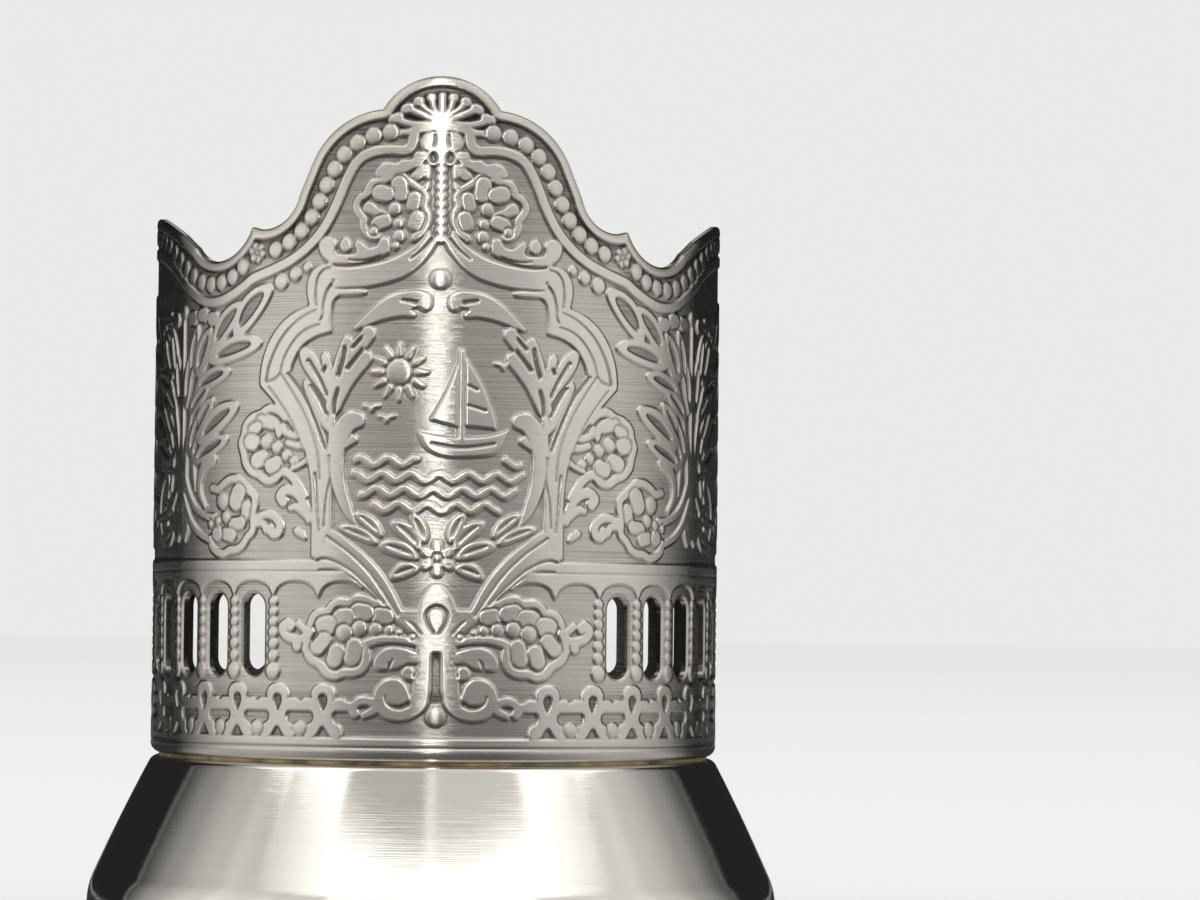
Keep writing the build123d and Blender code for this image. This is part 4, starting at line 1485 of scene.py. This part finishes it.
class HOLDER_OT_foot(bpy.types.Operator):
    """Spin the flared foot and the solder line on its ledge"""

    bl_idname = "holder.foot"
    bl_label = "Spun foot"

    def execute(self, context):
        sizes, colours, _ = settings()
        wall = sizes.foot_wall / MM
        corners = [
            (SLEEVE_R - sizes.foot_ledge / MM, JOINT_Z),
            (SLEEVE_R, JOINT_Z),
            (FOOT_R, sizes.foot_band / MM),
            (FOOT_R, 0),
            (FOOT_R - sizes.foot_lip / MM, 0),
        ]
        inner_rounds = (0.5, 8.0, 0.5)
        outside = swelled(filleted(corners, [inner + wall for inner in inner_rounds]), sizes.foot_belly / MM)
        inside = filleted(inset(corners, wall), inner_rounds)
        foot = turned("spun_foot", outside + inside[::-1], TURN_STEPS)
        show(foot, brushed_nickel(colours, "brushed_foot"), "satin_nickel", "base_skirt")
        low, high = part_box("base_solder_ring")
        inner_r, outer_r = SLEEVE_R - WALL - FLANGE_REACH, high.x / MM
        foot_z, film_z = low.z / MM, JOINT_Z + SLEEVE_FOOT
        bead_out, bead_up, wobble = 0.08, 0.14, 0.0006
        outline = [(inner_r, foot_z), (outer_r, foot_z), (outer_r + bead_out, foot_z + bead_up)]
        for reach in (outer_r, outer_r - 0.2, SLEEVE_R - BEND_R):
            fall = reach - SLEEVE_R + BEND_R
            outline.append((reach, film_z + BEND_R - (BEND_R**2 - fall**2) ** 0.5))
        outline.append((inner_r, film_z))
        line = turned("solder_line", [np.array(spot) for spot in outline], TURN_STEPS)
        for vertex in line.data.vertices:
            x, y = vertex.co.xy
            if hypot(x, y) > outer_r * MM * 0.995:
                angle = np.arctan2(y, x)
                swell = sin(23 * angle + 2) + sin(41 * angle) + sin(67 * angle + 1)
                vertex.co.xy *= 1 + wobble * swell
        show(line, old_solder(colours, "brass_line", colours.brass), "brass_solder", "base_solder_ring")
        return {"FINISHED"}


class HOLDER_OT_seat(bpy.types.Operator):
    """Turn the seat that the glass stands on"""

    bl_idname = "holder.seat"
    bl_label = "Seat"

    def execute(self, context):
        sizes, colours, _ = settings()
        hole = sizes.seat_hole / MM
        low, high = SEAT_BOX
        outer, foot, top, round_off = high.x / MM, low.z / MM, high.z / MM, 0.25
        corners = [
            (hole + 2, top), (outer, top), (outer, foot), (hole, foot), (hole, top), (hole + 2, top),
        ]
        outline = filleted(corners, [round_off] * 4, cuts=4)[:-1]
        seat = turned("seat_plate", outline, SEAT_STEPS)
        show(seat, brushed_nickel(colours, "brushed_seat"), "satin_nickel", "seat_disc")
        return {"FINISHED"}


class HOLDER_OT_handle(bpy.types.Operator):
    """Finish the ear handle and its thumb rest"""

    bl_idname = "holder.handle"
    bl_label = "Ear handle"

    def execute(self, context):
        _, colours, _ = settings()
        finish = brushed_nickel(colours, "brushed_handle", 5000)
        for node in ("handle_strap", "thumb_rest"):
            dress(node, finish)
        return {"FINISHED"}


class HOLDER_OT_solder(bpy.types.Operator):
    """Finish the solder of the handle and of the sleeve's back seam"""

    bl_idname = "holder.solder"
    bl_label = "Solder"

    def execute(self, context):
        _, colours, _ = settings()
        finish = old_solder(colours, "silver_film", colours.silver)
        for node in ("seam_solder", "upper_handle_solder", "lower_handle_solder", "thumb_rest_solder"):
            dress(node, finish)
        return {"FINISHED"}


CARD_DISTANCE = 1.5
CARD_MIDDLE = 0.06
MAT_HEIGHT = 0.0005
BEFORE = 1.03


def seen_directly(nodes):
    """One for rays from the camera and for those by way of a reflection or through glass, else nought."""
    seen = 0.0
    for ray in ("Is Camera Ray", "Is Glossy Ray", "Is Transmission Ray"):
        seen = nodes.node("ShaderNodeLightPath", {}, {}, ray) + seen
    return seen.held()


def seen_in_reflections(card, name):
    """Leaves a card of the studio to reflections alone, with the glow that is painted on it."""
    for ray in ("camera", "diffuse", "transmission", "volume_scatter", "shadow"):
        setattr(card, "visible_" + ray, False)
    matt = {"Roughness": 1.0, "Specular_IOR_Level": 0.0}
    paint = Finish(name, Base_Color=(0, 0, 0, 1), Emission_Strength=1.0, **matt)
    paint.set("Emission Color", paint.painted("glow"))
    card.data.materials.append(paint.material)


def studio_card(name, azimuths, elevations, glows, lift=0.0, fade=1.0, bands=0.0, nearness=1.0):
    """A curved card round the object, by angles from the front.

    Its glows run from the first azimuth to the second. Lift raises the lower edge towards the second
    azimuth, fade multiplies the glow at the upper edge, bands are faint upright stripes, and a nearness
    above one puts the card before the others.
    """
    card = added(bpy.ops.mesh.primitive_grid_add, name, x_subdivisions=48, y_subdivisions=12, size=2)
    glow = card.data.attributes.new("glow", "FLOAT", "POINT")
    for vertex, painted in zip(card.data.vertices, glow.data):
        share, height_share = (vertex.co.x + 1) / 2, (vertex.co.y + 1) / 2
        azimuth = radians(np.interp(share, (0, 1), azimuths))
        low = elevations[0] + lift * share**3
        elevation = radians(np.interp(height_share, (0, 1), (low, elevations[1])))
        away = CARD_DISTANCE / nearness
        across, height = away * cos(elevation), away * sin(elevation) + CARD_MIDDLE
        vertex.co = (across * sin(azimuth), -across * cos(azimuth), height)
        stripes = 1 + bands * (sin(31 * share) + 0.6 * sin(53 * share + 1))
        glow_here = np.interp(share, np.linspace(0, 1, len(glows)), glows)
        painted.value = glow_here * (1 + (fade - 1) * height_share) * stripes
    seen_in_reflections(card, name)


def floor_mat(name, inner, outer, glow):
    """A dark ring that lies on the floor round the foot, lighter at the sides."""
    place = (0, 0, MAT_HEIGHT)
    mat = added(bpy.ops.mesh.primitive_circle_add, name, vertices=96, radius=inner, location=place)
    bpy.ops.object.mode_set(mode="EDIT")
    bpy.ops.mesh.select_all(action="SELECT")
    bpy.ops.mesh.extrude_edges_move()
    bpy.ops.transform.resize(value=[outer / inner] * 3)
    bpy.ops.object.mode_set(mode="OBJECT")
    painted = mat.data.attributes.new("glow", "FLOAT", "POINT")
    for vertex, spot in zip(mat.data.vertices, painted.data):
        azimuth = np.degrees(np.arctan2(abs(vertex.co.x), -vertex.co.y))
        spot.value = np.interp(azimuth, (20, 60, 90, 115), (glow, 4 * glow, 4 * glow, 0.3 * glow))
    seen_in_reflections(mat, name)


def lamp(name, place, target, size, power):
    """A soft box that faces a target."""
    bpy.ops.object.light_add(type="AREA", location=place)
    box = bpy.context.object
    box.name = name
    box.rotation_euler = (Vector(target) - Vector(place)).to_track_quat("-Z", "Y").to_euler()
    box.data.shape = "RECTANGLE"
    box.data.size, box.data.size_y = size
    box.data.energy = power


class HOLDER_OT_stage(bpy.types.Operator):
    """Set the floor, the light and the camera"""

    bl_idname = "holder.stage"
    bl_label = "Stage"

    def execute(self, context):
        studio = settings()[2]
        scene = context.scene
        scene.view_settings.view_transform = "Standard"
        self.floor()
        self.surroundings(studio)
        self.lights()
        self.camera(studio)
        return {"FINISHED"}

    def floor(self):
        circle = bpy.ops.mesh.primitive_circle_add
        ground = added(circle, "floor", vertices=96, radius=4, fill_type="NGON")
        paint = Finish("pale_floor", Base_Color=(0.8, 0.8, 0.79, 1), Roughness=0.9, Emission_Strength=1.0)
        paint.set("Specular IOR Level", 0.0)
        glow = (0.42, 0.42, 0.415, 1)
        paint.set("Emission Color", paint.mix(seen_directly(paint), (0, 0, 0, 1), glow))
        ground.data.materials.append(paint.material)

    def surroundings(self, studio):
        world = bpy.data.worlds.new("pale_room")
        bpy.context.scene.world = world
        world.use_nodes = True
        room = Nodes(world.node_tree)
        sky = room.tree.nodes["Background"]
        room.feed(sky.inputs["Color"], (1, 1, 0.985, 1))
        ambient = 0.45
        room.feed(sky.inputs["Strength"], seen_directly(room) * (studio.backdrop - ambient) + ambient)

    def lights(self):
        lamp("key_light", (-1.7, -0.4, 1.2), (0, 0, 0.06), (1.2, 1.6), 8.0)
        lamp("fill_light", (1.7, -0.4, 1.0), (0, 0, 0.06), (1.2, 1.6), 5.0)
        studio_card("strip_light", (-2.2, 0.3), (-1, 33), (11.0, 11.0))
        studio_card("oval_streak", (-3.2, -0.4), (44, 57), (1.15, 1.15), nearness=BEFORE)
        floor_mat("dark_mat", 0.0425, 1.4, 0.13)
        sides = ((-1, "left", 0.95, 0.56, 0.5), (1, "right", 0.75, 0.72, 0.84))
        for side, name, level, oval, fade in sides:
            low_glow, front_glow = (0.05, 0.08), (0.4 + 0.18 * level, 0.55 + 0.2 * level)
            studio_card("low_card_" + name, (2.0 * side, 38 * side), (-6, 1), low_glow)
            studio_card("front_card_" + name, (2.0 * side, 38 * side), (1, 34), front_glow, fade=2.0)
            studio_card("high_card_" + name, (2.0 * side, 42 * side), (44.0, 57), (oval, oval), lift=2.6)
            side_glow, high_glow, bands = (1.3 * level, 1.25 * level, 0.06), (1.6, 1.6, 0.2), 0.04
            side_span, high_span = (40 * side, 122 * side), (43 * side, 122 * side)
            studio_card("side_panel_" + name, side_span, (-2, 41), side_glow, fade=fade, bands=bands)
            studio_card("high_panel_" + name, high_span, (41, 70), high_glow, bands=bands)
            studio_card("back_card_" + name, (122.3 * side, 176 * side), (-2, 75), (0.02, 0.02))
        front_glow = (0.8, 1.3, 2.0, 2.0, 2.0, 2.0, 1.5, 1.0)
        studio_card("front_panel", (-70, 70), (34, 43.9), front_glow, nearness=BEFORE)

    def camera(self, studio):
        bpy.ops.object.camera_add(location=(0, -studio.distance, studio.height))
        camera = bpy.context.object
        turn = Matrix.Rotation(-studio.aside, 4, "Z") @ Matrix.Rotation(pi / 2 + studio.rise, 4, "X")
        place = Matrix.Translation(camera.location)
        swing = Matrix.Rotation(-studio.swing, 4, "Z")
        camera.matrix_world = swing @ place @ turn @ Matrix.Rotation(studio.lean, 4, "Z")
        camera.data.sensor_fit = "HORIZONTAL"
        camera.data.sensor_width = 36
        camera.data.lens = studio.lens
        camera.data.clip_start = 0.01
        bpy.context.scene.camera = camera


class HOLDER_PT_panel(bpy.types.Panel):
    """The holder's pieces and settings"""

    bl_label = "Tea glass holder"
    bl_idname = "HOLDER_PT_panel"
    bl_space_type = "VIEW_3D"
    bl_region_type = "UI"
    bl_category = "Glass Holder"

    def draw(self, context):
        for operator in OPERATORS:
            self.layout.operator(operator.bl_idname)
        for group in settings():
            box = self.layout.box()
            for name in group.__annotations__:
                box.prop(group, name)


GROUPS = {"holder_sizes": HolderSizes, "holder_colours": HolderColours, "holder_studio": HolderStudio}
OPERATORS = (
    HOLDER_OT_sleeve, HOLDER_OT_foot, HOLDER_OT_seat, HOLDER_OT_handle, HOLDER_OT_solder, HOLDER_OT_stage,
)


def register():
    for name, group in GROUPS.items():
        bpy.utils.register_class(group)
        setattr(bpy.types.Scene, name, PointerProperty(type=group))
    for operator in OPERATORS:
        bpy.utils.register_class(operator)
    bpy.utils.register_class(HOLDER_PT_panel)


def unregister():
    bpy.utils.unregister_class(HOLDER_PT_panel)
    for operator in reversed(OPERATORS):
        bpy.utils.unregister_class(operator)
    for name, group in GROUPS.items():
        delattr(bpy.types.Scene, name)
        bpy.utils.unregister_class(group)


def main():
    register()
    bpy.ops.holder.sleeve()
    bpy.ops.holder.foot()
    bpy.ops.holder.seat()
    bpy.ops.holder.handle()
    bpy.ops.holder.solder()
    bpy.ops.holder.stage()


if __name__ == "__main__":
    main()
